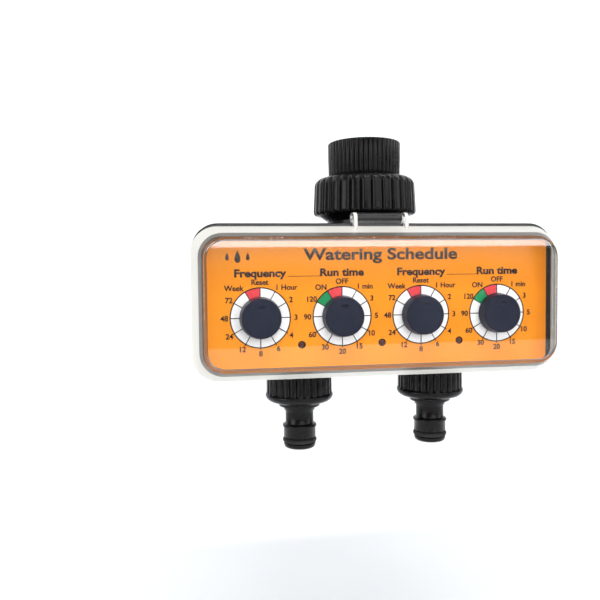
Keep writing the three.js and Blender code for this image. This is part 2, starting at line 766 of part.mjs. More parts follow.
// The neck that hangs in the nut, held in the case's top wall between two collars, and the cross tube that
// shares the water between the two valves.
function inletManifold() {
  const neck = turned(
    [
      [0, CROSS_TUBE_Z + 2],
      [NECK_STEM, CROSS_TUBE_Z + 2],
      [NECK_STEM, INSIDE_TOP - NECK_STEP],
      [SHOULDER_RADIUS - 0.2, INSIDE_TOP - NECK_STEP],
      [SHOULDER_RADIUS - 0.2, INSIDE_TOP - GAP],
      [NECK_RADIUS + 1.2, INSIDE_TOP - GAP],
      [NECK_RADIUS + 1.2, CASE_TOP + GAP],
      [SHOULDER_RADIUS, CASE_TOP + GAP],
      [SHOULDER_RADIUS, NUT_BOTTOM - NUT_SKIRT - GAP],
      [NECK_RADIUS, NUT_BOTTOM - NUT_SKIRT - GAP],
      [NECK_RADIUS, NECK_FLANGE_BOTTOM],
      [NECK_FLANGE, NECK_FLANGE_BOTTOM],
      [NECK_FLANGE, NECK_FLANGE_TOP],
      [0, NECK_FLANGE_TOP],
    ],
    0,
    0,
  );
  const cross = rodX(CROSS_TUBE_RADIUS, -OUTLET_X - 11.5, OUTLET_X + 11.5, 0, CROSS_TUBE_Z, 20);
  const sockets = SIDES.map(([, side]) =>
    rodZ(VALVE_RADIUS, CROSS_TUBE_Z, SOCKET_BOTTOM, side * OUTLET_X, 0, 20),
  );
  const neckBore = rodZ(WATERWAY - 0.3, NECK_FLANGE_TOP + PAST, CROSS_TUBE_Z, 0, 0, 16);
  const crossBore = rodX(CROSS_TUBE_BORE, -OUTLET_X - 7, OUTLET_X + 7, 0, CROSS_TUBE_Z, 14);
  const socketBores = SIDES.map(([, side]) =>
    rodZ(VALVE_BORE - 0.8, CROSS_TUBE_Z, SOCKET_BOTTOM - PAST, side * OUTLET_X, 0, 14),
  );
  return cut(join(neck, cross, ...sockets), neckBore, crossBore, ...socketBores);
}

function inletWasher() {
  const bottom = NECK_FLANGE_TOP + GAP;
  const top = bottom + WASHER_THICK;
  return cut(rodZ(NECK_FLANGE, bottom, top, 0, 0), rodZ(WASHER_BORE, bottom - 1, top + 1, 0, 0));
}

// A strainer cup that hangs into the neck, with slots round its wall.
function inletFilter() {
  const rimBottom = NECK_FLANGE_TOP + 2 * GAP + WASHER_THICK;
  const rimTop = rimBottom + FILTER_RIM_THICK;
  const rim = rodZ(FILTER_RIM, rimBottom, rimTop, 0, 0);
  const cup = rodZ(FILTER_CUP, FILTER_BOTTOM, rimBottom + GAP, 0, 0, 16);
  const inside = rodZ(FILTER_CUP_BORE, FILTER_BOTTOM + FILTER_RIM_THICK, rimTop + 1, 0, 0, 16);
  const slots = [0, 1, 2, 3].map((step) => {
    const geometry = new THREE.BoxGeometry(3 * FILTER_CUP, 2.6, 8);
    geometry.rotateZ((step * Math.PI) / 4);
    geometry.translate(0, 0, FILTER_BOTTOM + 6.5);
    return solid(geometry);
  });
  return cut(join(rim, cup), inside, ...slots);
}

function swivelNut() {
  const ribs = ribbedRing(NUT_RADIUS, 1, NUT_RIBS, NUT_BOTTOM, NUT_TOP, 1.8, 0);
  const skirtTop = NUT_BOTTOM + 0.2;
  const skirtBottom = NUT_BOTTOM - NUT_SKIRT;
  const skirt = turned(
    [
      [0, skirtBottom],
      [NUT_RADIUS - 6.5, skirtBottom],
      [NUT_RADIUS - 3.1, skirtTop],
      [0, skirtTop],
    ],
    0,
    0,
    30,
  );
  const lip = rodZ(NECK_RADIUS + 0.4, skirtBottom - 1, NUT_TOP + 1, 0, 0, 28);
  const thread = rodZ(NUT_BORE, NECK_FLANGE_BOTTOM - GAP, NUT_TOP + 1, 0, 0, 28);
  return cut(join(ribs, skirt), lip, thread);
}

function reducerBush() {
  const collar = ribbedRing(BUSH_RADIUS, 0.6, BUSH_RIBS, -BUSH_COLLAR, 0, 0, 0);
  const shankBottom = NECK_FLANGE_TOP + 3 * GAP + WASHER_THICK + FILTER_RIM_THICK;
  const shank = rodZ(BUSH_SHANK, shankBottom, -BUSH_COLLAR + PAST, 0, 0, 28);
  return cut(
    join(collar, shank),
    rodZ(BUSH_BORE, -15, 1, 0, 0, 24),
    rodZ(WATERWAY, shankBottom - 1, -14, 0, 0),
  );
}

function valveBody(side) {
  const x = side * OUTLET_X;
  const body = turned(
    [
      [0, SPIGOT_BOTTOM],
      [SPIGOT_RADIUS, SPIGOT_BOTTOM],
      [SPIGOT_RADIUS, INSIDE_BOTTOM + GAP],
      [VALVE_FLANGE, INSIDE_BOTTOM + GAP],
      [VALVE_FLANGE, VALVE_FLANGE_TOP],
      [VALVE_RADIUS, VALVE_FLANGE_TOP],
      [VALVE_RADIUS, SOCKET_BOTTOM - GAP],
      [0, SOCKET_BOTTOM - GAP],
    ],
    x,
    0,
    20,
  );
  const bore = rodZ(VALVE_BORE, SPIGOT_BOTTOM - 1, SOCKET_BOTTOM, x, 0, 16);
  const chamber = new THREE.SphereGeometry(BALL_RADIUS + 0.6, 16, 10);
  chamber.translate(x, 0, BALL_Z);
  const stemHole = rodX(STEM_RADIUS + 0.4, x, x + side * (VALVE_RADIUS + 1), 0, BALL_Z, 12);
  return cut(body, bore, solid(chamber), stemHole);
}

// The ball with its stem: at rest its bore lies across the flow, so the valve is shut.
function valveBall(side) {
  const x = side * OUTLET_X;
  const ball = new THREE.SphereGeometry(BALL_RADIUS, 16, 10);
  ball.translate(x, 0, BALL_Z);
  const stem = rodX(STEM_RADIUS, x + side * 9, x + side * STEM_END, 0, BALL_Z, 14);
  const bore = rodY(VALVE_BORE - 1.1, -BALL_RADIUS - 1, BALL_RADIUS + 1, x, BALL_Z, 14);
  return cut(join(solid(ball), stem), bore);
}

// Two places outboard of a valve's axis, in order along X.
function outboard(side, near, far) {
  const a = side * (OUTLET_X + near);
  const b = side * (OUTLET_X + far);
  return [Math.min(a, b), Math.max(a, b)];
}

function valveGear(side) {
  const [xMin, xMax] = outboard(side, GEAR_NEAR, GEAR_FAR);
  return spurGear(GEAR_TEETH, STEM_RADIUS + GAP, xMin, xMax, BALL_Z, 0);
}

function motorPinion(side) {
  const [xMin, xMax] = outboard(side, GEAR_NEAR, GEAR_FAR);
  const [shaftMin, shaftMax] = outboard(side, GEAR_NEAR + 1, MOTOR_NEAR + 1.4);
  const teeth = spurGear(PINION_TEETH, 0, xMin, xMax, PINION_Z, 0.5);
  return join(teeth, rodX(MOTOR_SHAFT, shaftMin, shaftMax, 0, PINION_Z, 12));
}

// An open tray that holds the gears, with its floor against the valve.
function gearbox(side) {
  const [xMin, xMax] = outboard(side, GEARBOX_NEAR, MOTOR_NEAR - GAP);
  const [pocketMin, pocketMax] = outboard(side, GEARBOX_NEAR + GEARBOX_WALL, MOTOR_NEAR + PAST);
  const inner = GEARBOX_HALF_WIDTH - GEARBOX_WALL;
  const block = box(xMin, xMax, -GEARBOX_HALF_WIDTH, GEARBOX_HALF_WIDTH, GEARBOX_BOTTOM, GEARBOX_TOP);
  const pocket = box(
    pocketMin,
    pocketMax,
    -inner,
    inner,
    GEARBOX_BOTTOM + GEARBOX_WALL,
    GEARBOX_TOP - GEARBOX_WALL,
  );
  const stemHole = rodX(STEM_RADIUS + 0.4, xMin - PAST, xMax + PAST, 0, BALL_Z, 12);
  return cut(block, pocket, stemHole);
}

function valveMotor(side) {
  const [plateMin, plateMax] = outboard(side, MOTOR_NEAR, MOTOR_NEAR + MOTOR_PLATE);
  const [canMin, canMax] = outboard(side, MOTOR_NEAR + 1, MOTOR_FAR);
  const [holeMin, holeMax] = outboard(side, MOTOR_NEAR - 1, MOTOR_NEAR + 2.2);
  const plate = box(
    plateMin,
    plateMax,
    -GEARBOX_HALF_WIDTH,
    GEARBOX_HALF_WIDTH,
    GEARBOX_BOTTOM,
    GEARBOX_TOP,
  );
  const can = rodX(MOTOR_RADIUS, canMin, canMax, 0, PINION_Z, 20);
  return cut(join(plate, can), rodX(MOTOR_SHAFT + 0.4, holeMin, holeMax, 0, PINION_Z, 12));
}

// The moulded nozzle: a ribbed threaded cup above, a neck and a catch ring below, and an O-ring groove.
function outletAdapter(side) {
  const x = side * OUTLET_X;
  const cup = ribbedRing(ADAPTER_RADIUS, 0.8, ADAPTER_RIBS, ADAPTER_RIM_TOP - PAST, ADAPTER_TOP, 0, x);
  const grooveHalf = O_RING_SECTION + GAP;
  const groove = O_RING_RADIUS - O_RING_SECTION - GAP;
  const nozzle = turned(
    [
      [0, NOZZLE_END],
      [NOZZLE_RADIUS - 1.3, NOZZLE_END],
      [NOZZLE_RADIUS - 0.1, NOZZLE_END + 1.4],
      [NOZZLE_RADIUS, O_RING_Z - grooveHalf],
      [groove, O_RING_Z - grooveHalf],
      [groove, O_RING_Z + grooveHalf],
      [NOZZLE_RADIUS, O_RING_Z + grooveHalf],
      [NOZZLE_RADIUS, -142.2],
      [CATCH_RING, -141.2],
      [CATCH_RING - 0.25, -140.3],
      [NOZZLE_NECK, -140],
      [NOZZLE_NECK, -136.6],
      [NOZZLE_NECK + 1.6, -133],
      [FLANGE_RADIUS - 1.2, -131],
      [FLANGE_RADIUS, -130.8],
      [FLANGE_RADIUS, -129.6],
      [OUTLET_WASHER, -128.9],
      [ADAPTER_RADIUS - 0.2, -127.4],
      [ADAPTER_RIM_RADIUS, -126],
      [ADAPTER_RIM_RADIUS, ADAPTER_RIM_TOP],
      [0, ADAPTER_RIM_TOP],
    ],
    x,
    0,
    22,
  );
  return cut(
    join(cup, nozzle),
    rodZ(ADAPTER_BORE, ADAPTER_FLOOR, ADAPTER_TOP + 1, x, 0, 22),
    rodZ(NOZZLE_BORE, NOZZLE_END - 1, ADAPTER_FLOOR + 1, x, 0, 12),
  );
}

function outletWasher(side) {
  const x = side * OUTLET_X;
  const top = SPIGOT_BOTTOM - GAP;
  const bottom = ADAPTER_FLOOR + GAP;
  return cut(rodZ(OUTLET_WASHER, bottom, top, x, 0), rodZ(CROSS_TUBE_BORE, bottom - 1, top + 1, x, 0, 16));
}

function nozzleORing(side) {
  const section = [];
  const corners = 6;
  for (let step = 0; step <= corners; step += 1) {
    const angle = ((step + 0.5) / corners) * 2 * Math.PI;
    section.push([
      O_RING_RADIUS + O_RING_SECTION * Math.cos(angle),
      O_RING_Z + O_RING_SECTION * Math.sin(angle),
    ]);
  }
  return turned(section, side * OUTLET_X, 0, 22);
}

place("front_case", frontCase(), BLACK_CASE);
place("rear_case", rearCase(), BLACK_CASE);
POSTS.forEach((post, index) => place(`case_screw_${index + 1}`, caseScrew(post), STEEL));
place("lid", lid(), CLEAR);
place("hinge_pin", hingePin(), STEEL);
place("control_panel", controlPanel(), BLACK_CASE);
place("faceplate", faceplate(), ORANGE_FACE);
DIALS.forEach((number) => {
  place(KNOB_NAMES[number - 1], knob(number), BLACK_KNOB);
  place(`knob_spindle_${number}`, spindle(number), WHITE_PLASTIC);
  place(`rotary_switch_${number}`, rotarySwitch(number), SWITCH_BLUE);
});
LAMPS.forEach((number) => place(`status_lamp_${number}`, statusLamp(number), LED_RED));
place("circuit_board", circuitBoard(), GREEN_BOARD);
place("battery_tray", batteryTray(), BLACK_CASE);
place("battery_tray_seal", batteryTraySeal(), RUBBER);
place("battery_contact", batteryContact(), BRASS);
place("terminal_block", terminalBlock(), WHITE_PLASTIC);
place("inlet_manifold", inletManifold(), BLACK_FITTING);
place("inlet_washer", inletWasher(), RUBBER);
place("inlet_filter", inletFilter(), WHITE_PLASTIC);
place("swivel_nut", swivelNut(), BLACK_FITTING);
place("reducer_bush", reducerBush(), BLACK_FITTING);
SIDES.forEach(([name, side]) => {
  place(`battery_cell_${name}`, batteryCell(side), CELL_SLEEVE);
  place(`valve_body_${name}`, valveBody(side), WHITE_PLASTIC);
  place(`valve_ball_${name}`, valveBall(side), STEEL);
  place(`valve_gear_${name}`, valveGear(side), WHITE_PLASTIC);
  place(`motor_pinion_${name}`, motorPinion(side), BRASS);
  place(`gearbox_${name}`, gearbox(side), BLACK_CASE);
  place(`valve_motor_${name}`, valveMotor(side), STEEL);
  place(`outlet_adapter_${name}`, outletAdapter(side), BLACK_FITTING);
  place(`outlet_washer_${name}`, outletWasher(side), RUBBER);
  place(`nozzle_o_ring_${name}`, nozzleORing(side), RUBBER);
});

export default timer;
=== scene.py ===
"""Looks of a drip irrigation timer: its visible pieces rebuilt finely on the CAD frame, and a plain studio.

Lengths are in millimetres in the row frame, +Z up and the front towards -Y. Meshes are made in metres.
"""

import json
import math

import bmesh
import bpy
from mathutils import Matrix, Vector


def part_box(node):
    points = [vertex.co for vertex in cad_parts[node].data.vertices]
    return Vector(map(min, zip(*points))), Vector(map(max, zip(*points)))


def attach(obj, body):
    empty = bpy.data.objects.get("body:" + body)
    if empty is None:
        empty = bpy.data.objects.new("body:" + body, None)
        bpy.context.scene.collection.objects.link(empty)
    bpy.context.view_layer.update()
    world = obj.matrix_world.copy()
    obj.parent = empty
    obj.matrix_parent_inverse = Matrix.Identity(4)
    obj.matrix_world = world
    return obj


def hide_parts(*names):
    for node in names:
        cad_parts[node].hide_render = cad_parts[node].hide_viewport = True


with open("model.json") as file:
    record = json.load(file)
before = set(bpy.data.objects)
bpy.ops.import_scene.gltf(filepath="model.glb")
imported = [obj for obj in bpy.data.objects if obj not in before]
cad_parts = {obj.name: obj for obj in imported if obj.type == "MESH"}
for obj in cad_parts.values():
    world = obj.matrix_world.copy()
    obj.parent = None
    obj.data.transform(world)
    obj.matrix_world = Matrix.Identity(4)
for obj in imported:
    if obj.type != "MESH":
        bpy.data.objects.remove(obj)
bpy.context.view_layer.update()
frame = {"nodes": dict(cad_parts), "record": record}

MM = 0.001
TURN = 2 * math.pi
SQUARE = 0.99999  # a normal's largest share from which its face counts as square to an axis


# ---------------------------------------------------------------- places, from the frame
class Span:
    """A CAD node's box in millimetres."""

    def __init__(self, node):
        low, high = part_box(node)
        self.x0, self.y0, self.z0 = (value / MM for value in low)
        self.x1, self.y1, self.z1 = (value / MM for value in high)
        self.x = (self.x0 + self.x1) / 2
        self.y = (self.y0 + self.y1) / 2
        self.z = (self.z0 + self.z1) / 2
        self.width = self.x1 - self.x0
        self.height = self.z1 - self.z0


CASE = Span("rear_case")
LID = Span("lid")
PIN = Span("hinge_pin")
PANEL = Span("control_panel")
PLATE = Span("faceplate")
NUT = Span("swivel_nut")
BUSH = Span("reducer_bush")
MANIFOLD = Span("inlet_manifold")
TRAY = Span("battery_tray")
SEAL = Span("battery_tray_seal")
KNOB_NAMES = ["frequency_knob_1", "run_time_knob_1", "frequency_knob_2", "run_time_knob_2"]
KNOBS = [Span(name) for name in KNOB_NAMES]
SIDES = ["left", "right"]

# Case: two halves that meet at Y = 0.
HALF_GAP = 0.15
CASE_CORNER = 12
CASE_WALL = 2.4
CASE_FRONT = PANEL.y0 + 1.6
CASE_MIDDLE = CASE.z
NECK_HOLE = 16.3
OUTLET_HOLE = 13.6
OUTLETS = [Span("outlet_adapter_left"), Span("outlet_adapter_right")]
BARREL_HALF = 10.9
BARREL_RADIUS = 2.6
SCREWS = [Span(f"case_screw_{number}") for number in range(1, 7)]
SCREW_PILOT = 1.7
COUNTERBORE = 3.3
COUNTERBORE_FLOOR = 16
TRAY_HALF = 14
TRAY_FRONT = 12.5
TRAY_SLOT = (-14.4, 14.4, 12.1, 25.3)  # the tray's way in and out, as x0, x1, y0 and y1

# Flap, which is centred on the panel behind it.
LID_TOP = 2 * PANEL.z - LID.z0
LID_REAR = CASE_FRONT - 0.4
LID_WALL = 2
LID_EDGE = 1
LID_INNER_EDGE = 0.4
LID_DRAFT = 5.6  # how far the walls lean in, from the rear rim to the front
CORNER_DRAFT = 0.4  # how much smaller the corners get, as a share of the lean
WALL_SPLIT = 0.4  # the share of the walls' depth, next to the front, that is painted dark as shade
WALL_PAINT_SHARE = 0.65  # how much of the walls' painted reflection and painted shade is laid over the clear plastic
EAR_GAP = 0.3
EAR_THICK = 1.8
EAR_RADIUS = 2.3
HINGE_BORE = 1.4

# Dials.
DIAL_RING = 13.5
DIAL_LINE = 0.28
DIAL_HOLE = 3.6
LAMPS = [Span(f"status_lamp_{number}") for number in range(1, 4)]
INK = 0.05  # thickness of a printed layer


# ---------------------------------------------------------------- mesh making
def object_from(name, points, faces):
    """A closed mesh of points in millimetres, with doubles merged and faces turned outwards."""
    mesh = bpy.data.meshes.new(name)
    mesh.from_pydata([(x * MM, y * MM, z * MM) for x, y, z in points], [], faces)
    work = bmesh.new()
    work.from_mesh(mesh)
    bmesh.ops.remove_doubles(work, verts=work.verts, dist=1e-6)
    bmesh.ops.recalc_face_normals(work, faces=work.faces)
    work.to_mesh(mesh)
    work.free()
    made = bpy.data.objects.new(name, mesh)
    bpy.context.scene.collection.objects.link(made)
    return made


def bake(made):
    """Applies an object's modifiers to its mesh."""
    bpy.context.view_layer.update()
    shown = made.evaluated_get(bpy.context.evaluated_depsgraph_get())
    mesh = bpy.data.meshes.new_from_object(shown)
    made.modifiers.clear()
    made.data = mesh
    return made


def combine(made, operation, *others):
    """Joins ("UNION") or cuts ("DIFFERENCE") an object with others, which are used up."""
    for other in others:
        change = made.modifiers.new("combine", "BOOLEAN")
        change.operation = operation
        change.solver = "EXACT"
        change.object = other
    bake(made)
    for other in others:
        bpy.data.objects.remove(other)
    return made


def eased(made, width, segments=3, angle=40):
    """Rounds off every edge sharper than angle."""
    change = made.modifiers.new("ease", "BEVEL")
    change.limit_method = "ANGLE"
    change.angle_limit = math.radians(angle)
    change.width = width * MM
    change.segments = segments
    return bake(made)


def loft(name, rings, closed=False):
    """Joins rings of equal counts in order, and caps the first and last unless it closes on itself."""
    count = len(rings[0])
    faces = []
    last = len(rings) if closed else len(rings) - 1
    for level in range(last):
        here = level * count
        there = (level + 1) % len(rings) * count
        for index in range(count):
            after = (index + 1) % count
            faces.append((here + index, here + after, there + after, there + index))
    if not closed:
        faces.append(tuple(range(count)))
        faces.append(tuple(range((len(rings) - 1) * count, len(rings) * count)))
    return object_from(name, [point for ring in rings for point in ring], faces)


def spot(axis, centre, radius, angle, along):
    """A point at a radius and angle round an axis, at a place along it."""
    across = radius * math.cos(angle)
    up = radius * math.sin(angle)
    if axis == "X":
        return (along, centre[0] + across, centre[1] + up)
    if axis == "Y":
        return (centre[0] + across, along, centre[1] + up)
    return (centre[0] + across, centre[1] + up, along)


def turned(name, profile, axis="Z", centre=(0, 0), sides=96, closed=False, valley=None):
    """A profile of (radius, place) or (radius, place, depth) turned about an axis. A row with a depth is
    ribbed: valley gives the share of the depth that is taken away at an angle."""
    rings = []
    for radius, along, *depth in profile:
        ring = []
        for step in range(sides):
            angle = TURN * step / sides
            reach = radius - depth[0] * valley(angle) if depth else radius
            ring.append(spot(axis, centre, reach, angle, along))
        rings.append(ring)
    return loft(name, rings, closed)


def rod(axis, centre, radius, start, end, sides=48):
    """A plain round cutter or post."""
    return turned("rod", [(radius, start), (radius, end)], axis, centre, sides)


def arc(centre, radius, start, end, steps):
    """Points of (radius, place) along an arc, angles in degrees from outwards to upwards."""
    points = []
    for step in range(steps + 1):
        angle = math.radians(start + (end - start) * step / steps)
        points.append((centre[0] + radius * math.cos(angle), centre[1] + radius * math.sin(angle)))
    return points


def rounded_ring(width, height, corner, middle, y, steps=12):
    """A rounded rectangle in X and Z."""
    ring = []
    for quarter, (side, up) in enumerate([(1, 1), (-1, 1), (-1, -1), (1, -1)]):
        x = side * (width / 2 - corner)
        z = middle + up * (height / 2 - corner)
        for step in range(steps + 1):
            angle = (quarter + step / steps) * TURN / 4
            ring.append((x + corner * math.cos(angle), y, z + corner * math.sin(angle)))
    return ring


def edge_rings(width, height, corner, middle, face, ease, inward, steps=5):
    """Rings that round the edge between a face at Y = face and the wall round it. inward is the way, +1 or -1
    along Y, from the face into the piece. They run from the face to the wall."""
    rings = []
    for step in range(steps + 1):
        angle = step / steps * TURN / 4
        inset = ease * (1 - math.sin(angle))
        y = face + inward * ease * (1 - math.cos(angle))
        rings.append(rounded_ring(width - 2 * inset, height - 2 * inset, corner - inset, middle, y))
    return rings


def block(x0, x1, y0, y1, z0, z1, ease=0.0):
    """A box, eased on all edges if asked."""
    low = [(x0, y0, z0), (x1, y0, z0), (x1, y1, z0), (x0, y1, z0)]
    high = [(x, y, z1) for x, y, _ in low]
    made = loft("block", [low, high])
    return eased(made, ease) if ease else made


def prism(name, outline, place, start, end):
    """An outline extruded: place turns one of its points and a distance into a point in space."""
    return loft(name, [[place(point, along) for point in outline] for along in (start, end)])


# ---------------------------------------------------------------- materials
class Surface:
    """One procedural material. Its textures follow the row frame, so a scale is in features per metre."""

    def __init__(self, slot):
        self.material = bpy.data.materials.new(slot)
        self.material.use_nodes = True
        self.tree = self.material.node_tree
        self.tree.nodes.clear()
        self.output = self.node("ShaderNodeOutputMaterial")
        self.shader = self.node("ShaderNodeBsdfPrincipled")
        self.place = self.node("ShaderNodeTexCoord").outputs["Object"]
        self.link(self.shader.outputs["BSDF"], self.output.inputs["Surface"])

    def node(self, kind, **settings):
        made = self.tree.nodes.new(kind)
        for key, value in settings.items():
            setattr(made, key, value)
        return made

    def link(self, source, target):
        self.tree.links.new(source, target)

    def noise(self, scale, detail=3.0, stretch=(1, 1, 1)):
        """Noise between 0 and 1. stretch makes its grain longer along an axis."""
        mapping = self.node("ShaderNodeMapping")
        mapping.inputs["Scale"].default_value = stretch
        made = self.node("ShaderNodeTexNoise")
        made.inputs["Scale"].default_value = scale
        made.inputs["Detail"].default_value = detail
        self.link(self.place, mapping.inputs["Vector"])
        self.link(mapping.outputs["Vector"], made.inputs["Vector"])
        return made.outputs["Fac"]

    def remap(self, source, low, high, start=0.3, end=0.7):
        """Stretches a value's range from start..end to low..high."""
        made = self.node("ShaderNodeMapRange")
        made.inputs["From Min"].default_value = start
        made.inputs["From Max"].default_value = end
        made.inputs["To Min"].default_value = low
        made.inputs["To Max"].default_value = high
        self.link(source, made.inputs["Value"])
        return made.outputs["Result"]

    def mix(self, share, first, second):
        """Blends two colours, each a tuple or a socket."""
        made = self.node("ShaderNodeMix", data_type="RGBA")
        self.link(share, made.inputs["Factor"])
        for socket, colour in ((made.inputs[6], first), (made.inputs[7], second)):
            if isinstance(colour, tuple):
                socket.default_value = (*colour, 1)
            else:
                self.link(colour, socket)
        return made.outputs[2]

    def worn_edges(self, colour, worn, amount):
        """Blends a colour towards a worn one where the surface stands out, as at an edge."""
        edges = self.node("ShaderNodeNewGeometry").outputs["Pointiness"]
        return self.mix(self.remap(edges, 0, amount, 0.52, 0.62), colour, worn)

    def bump(self, height, distance, strength=1.0):
        """Raises the surface by a height map, distance in millimetres."""
        made = self.node("ShaderNodeBump")
        made.inputs["Strength"].default_value = strength
        made.inputs["Distance"].default_value = distance * MM
        self.link(height, made.inputs["Height"])
        self.link(made.outputs["Normal"], self.shader.inputs["Normal"])

    def set(self, **values):
        """Sets plain values on the shader: spec for Specular IOR Level, and so on."""
        names = {
            "spec": "Specular IOR Level",
            "ior": "IOR",
            "metallic": "Metallic",
            "transmission": "Transmission Weight",
            "roughness": "Roughness",
        }
        for key, value in values.items():
            self.shader.inputs[names[key]].default_value = value

    def colour(self, source):
        self.link(source, self.shader.inputs["Base Color"])

    def roughness(self, source):
        self.link(source, self.shader.inputs["Roughness"])

    def blend(self, share, first, second):
        """Blends two shader sockets into the output, by a number or by a socket."""
        choose = self.node("ShaderNodeMixShader")
        if isinstance(share, float):
            choose.inputs["Fac"].default_value = share
        else:
            self.link(share, choose.inputs["Fac"])
        self.link(first, choose.inputs[1])
        self.link(second, choose.inputs[2])
        self.link(choose.outputs["Shader"], self.output.inputs["Surface"])


def moulded(slot, colour, cloudy, rough, grain, relief, spec=0.5, wear=0.35):
    """Moulded plastic: a faint mottle, fine grain, roughness that varies with handling, and rubbed edges."""
    surface = Surface(slot)
    base = surface.mix(surface.remap(surface.noise(60, 4), 0, 1), colour, cloudy)
    lighter = tuple(min(1, 1.6 * value + 0.03) for value in colour)
    surface.colour(surface.worn_edges(base, lighter, wear))
    surface.roughness(surface.remap(surface.noise(140, 5), *rough))
    surface.bump(surface.noise(grain, 2), relief)
    surface.set(spec=spec)
    return surface.material


def brushed(slot, colour, dark, rough, stretch):
    """Worked metal: streaks along the way it was turned or rolled, and a little tarnish."""
    surface = Surface(slot)
    tarnish = surface.mix(surface.remap(surface.noise(90, 5), 0, 1, 0.4, 0.75), colour, dark)
    surface.colour(tarnish)
    streaks = surface.noise(1600, 2, stretch)
    surface.roughness(surface.remap(streaks, *rough))
    surface.bump(streaks, 0.02, 0.5)
    surface.set(metallic=1.0)
    return surface.material


def clear_plastic(slot):
    """The flap's polished clear plastic, with faint flow lines. Shadow rays pass, so the face is lit."""
    surface = Surface(slot)
    surface.shader.inputs["Base Color"].default_value = (0.97, 0.985, 0.985, 1)
    surface.set(transmission=1.0, roughness=0.02, ior=1.49)
    surface.bump(surface.noise(30, 2, (0.4, 1, 1)), 0.01, 0.05)
    clear = surface.node("ShaderNodeBsdfTransparent")
    path = surface.node("ShaderNodeLightPath")
    surface.blend(path.outputs["Is Shadow Ray"], surface.shader.outputs["BSDF"], clear.outputs["BSDF"])
    return surface.material


def painted_wall_plastic(slot, colour, cloudy):
    """The flap's walls, as painted light: a share of opaque colour over clear plastic, painted pale as the
    reflection of the bright studio near the case, and painted dark as shade near the front.
    """
    surface = Surface(slot)
    surface.colour(surface.mix(surface.remap(surface.noise(35, 3), 0, 1), colour, cloudy))
    surface.roughness(surface.remap(surface.noise(120, 4), 0.2, 0.27))
    clear = surface.node("ShaderNodeBsdfTransparent")
    surface.blend(WALL_PAINT_SHARE, clear.outputs["BSDF"], surface.shader.outputs["BSDF"])
    return surface.material


def printed(slot, colour, faded):
    """Screen ink: slightly uneven coverage and a smooth surface."""
    surface = Surface(slot)
    surface.colour(surface.mix(surface.remap(surface.noise(700, 4), 0, 1, 0.35, 0.8), colour, faded))
    surface.roughness(surface.remap(surface.noise(260, 3), 0.12, 0.2))
    surface.bump(surface.noise(2600, 2), 0.004)
    return surface.material


def orange_film(slot):
    """The face's printed film: a fine print grain, slow tone changes, and faint rubbing from fingers."""
    surface = Surface(slot)
    tone = surface.mix(
        surface.remap(surface.noise(14, 2, (0.4, 1, 1)), 0, 1), (0.93, 0.28, 0.012), (0.95, 0.345, 0.02)
    )
    surface.colour(surface.mix(surface.remap(surface.noise(1900, 2), 0, 0.3), tone, (0.86, 0.24, 0.01)))
    surface.roughness(surface.remap(surface.noise(70, 5), 0.1, 0.16))
    surface.bump(surface.noise(900, 2), 0.002)
    surface.set(spec=0.2)
    return surface.material


def make_materials():
    """Every finish by name: how it is made, its two tones, and the rest of that maker's values."""
    finishes = {
        "case_black": (
            moulded, (0.010, 0.009, 0.010), (0.015, 0.013, 0.015), (0.12, 0.2), 2600, 0.008, 0.4
        ),
        "fitting_black": (
            moulded, (0.004, 0.003, 0.003), (0.007, 0.006, 0.006), (0.18, 0.3), 1700, 0.015, 0.2
        ),
        "knob_dark": (moulded, (0.008, 0.010, 0.024), (0.012, 0.014, 0.03), (0.3, 0.4), 3200, 0.01, 0.12),
        "white_plastic": (moulded, (0.78, 0.77, 0.72), (0.7, 0.69, 0.63), (0.4, 0.55), 2000, 0.02),
        "switch_blue": (moulded, (0.03, 0.09, 0.35), (0.04, 0.11, 0.4), (0.4, 0.5), 2200, 0.02),
        "lamp_red": (moulded, (0.05, 0.012, 0.01), (0.07, 0.015, 0.012), (0.1, 0.2), 900, 0.003),
        "board_green": (moulded, (0.015, 0.14, 0.045), (0.02, 0.17, 0.06), (0.3, 0.5), 1200, 0.02),
        "black_rubber": (
            moulded, (0.012, 0.012, 0.012), (0.024, 0.023, 0.022), (0.55, 0.75), 1500, 0.03, 0.35, 0.5
        ),
        "cell_sleeve": (brushed, (0.25, 0.27, 0.3), (0.2, 0.21, 0.23), (0.3, 0.45), (1, 1, 0.1)),
        "steel": (brushed, (0.62, 0.62, 0.63), (0.5, 0.49, 0.48), (0.2, 0.38), (1, 0.1, 1)),
        "brass": (brushed, (0.6, 0.42, 0.16), (0.5, 0.33, 0.12), (0.25, 0.42), (1, 0.1, 1)),
        "motor_steel": (brushed, (0.55, 0.55, 0.56), (0.45, 0.45, 0.44), (0.3, 0.5), (0.1, 1, 1)),
        "ball_chrome": (brushed, (0.75, 0.75, 0.76), (0.7, 0.7, 0.7), (0.08, 0.16), (1, 1, 1)),
        "lid_clear": (clear_plastic,),
        # painted reflection: a pale cream standing for the bright studio mirrored in the flap's clear walls
        "lid_wall": (painted_wall_plastic, (0.98, 0.96, 0.9), (0.95, 0.93, 0.87)),
        # painted shade: a near-black standing for the shade and the dark image of the panel's border in the
        # walls next to the front
        "lid_corner": (painted_wall_plastic, (0.05, 0.045, 0.045), (0.06, 0.05, 0.045)),
        "face_orange": (orange_film,),
        "print_white": (printed, (0.96, 0.95, 0.96), (0.92, 0.91, 0.92)),
        "print_black": (printed, (0.02, 0.007, 0.005), (0.045, 0.013, 0.008)),
        "print_red": (printed, (0.76, 0.045, 0.06), (0.8, 0.07, 0.08)),
        "print_green": (printed, (0.008, 0.25, 0.08), (0.012, 0.29, 0.1)),
    }
    return {slot: maker(slot, *values) for slot, (maker, *values) in finishes.items()}


MATERIALS = make_materials()


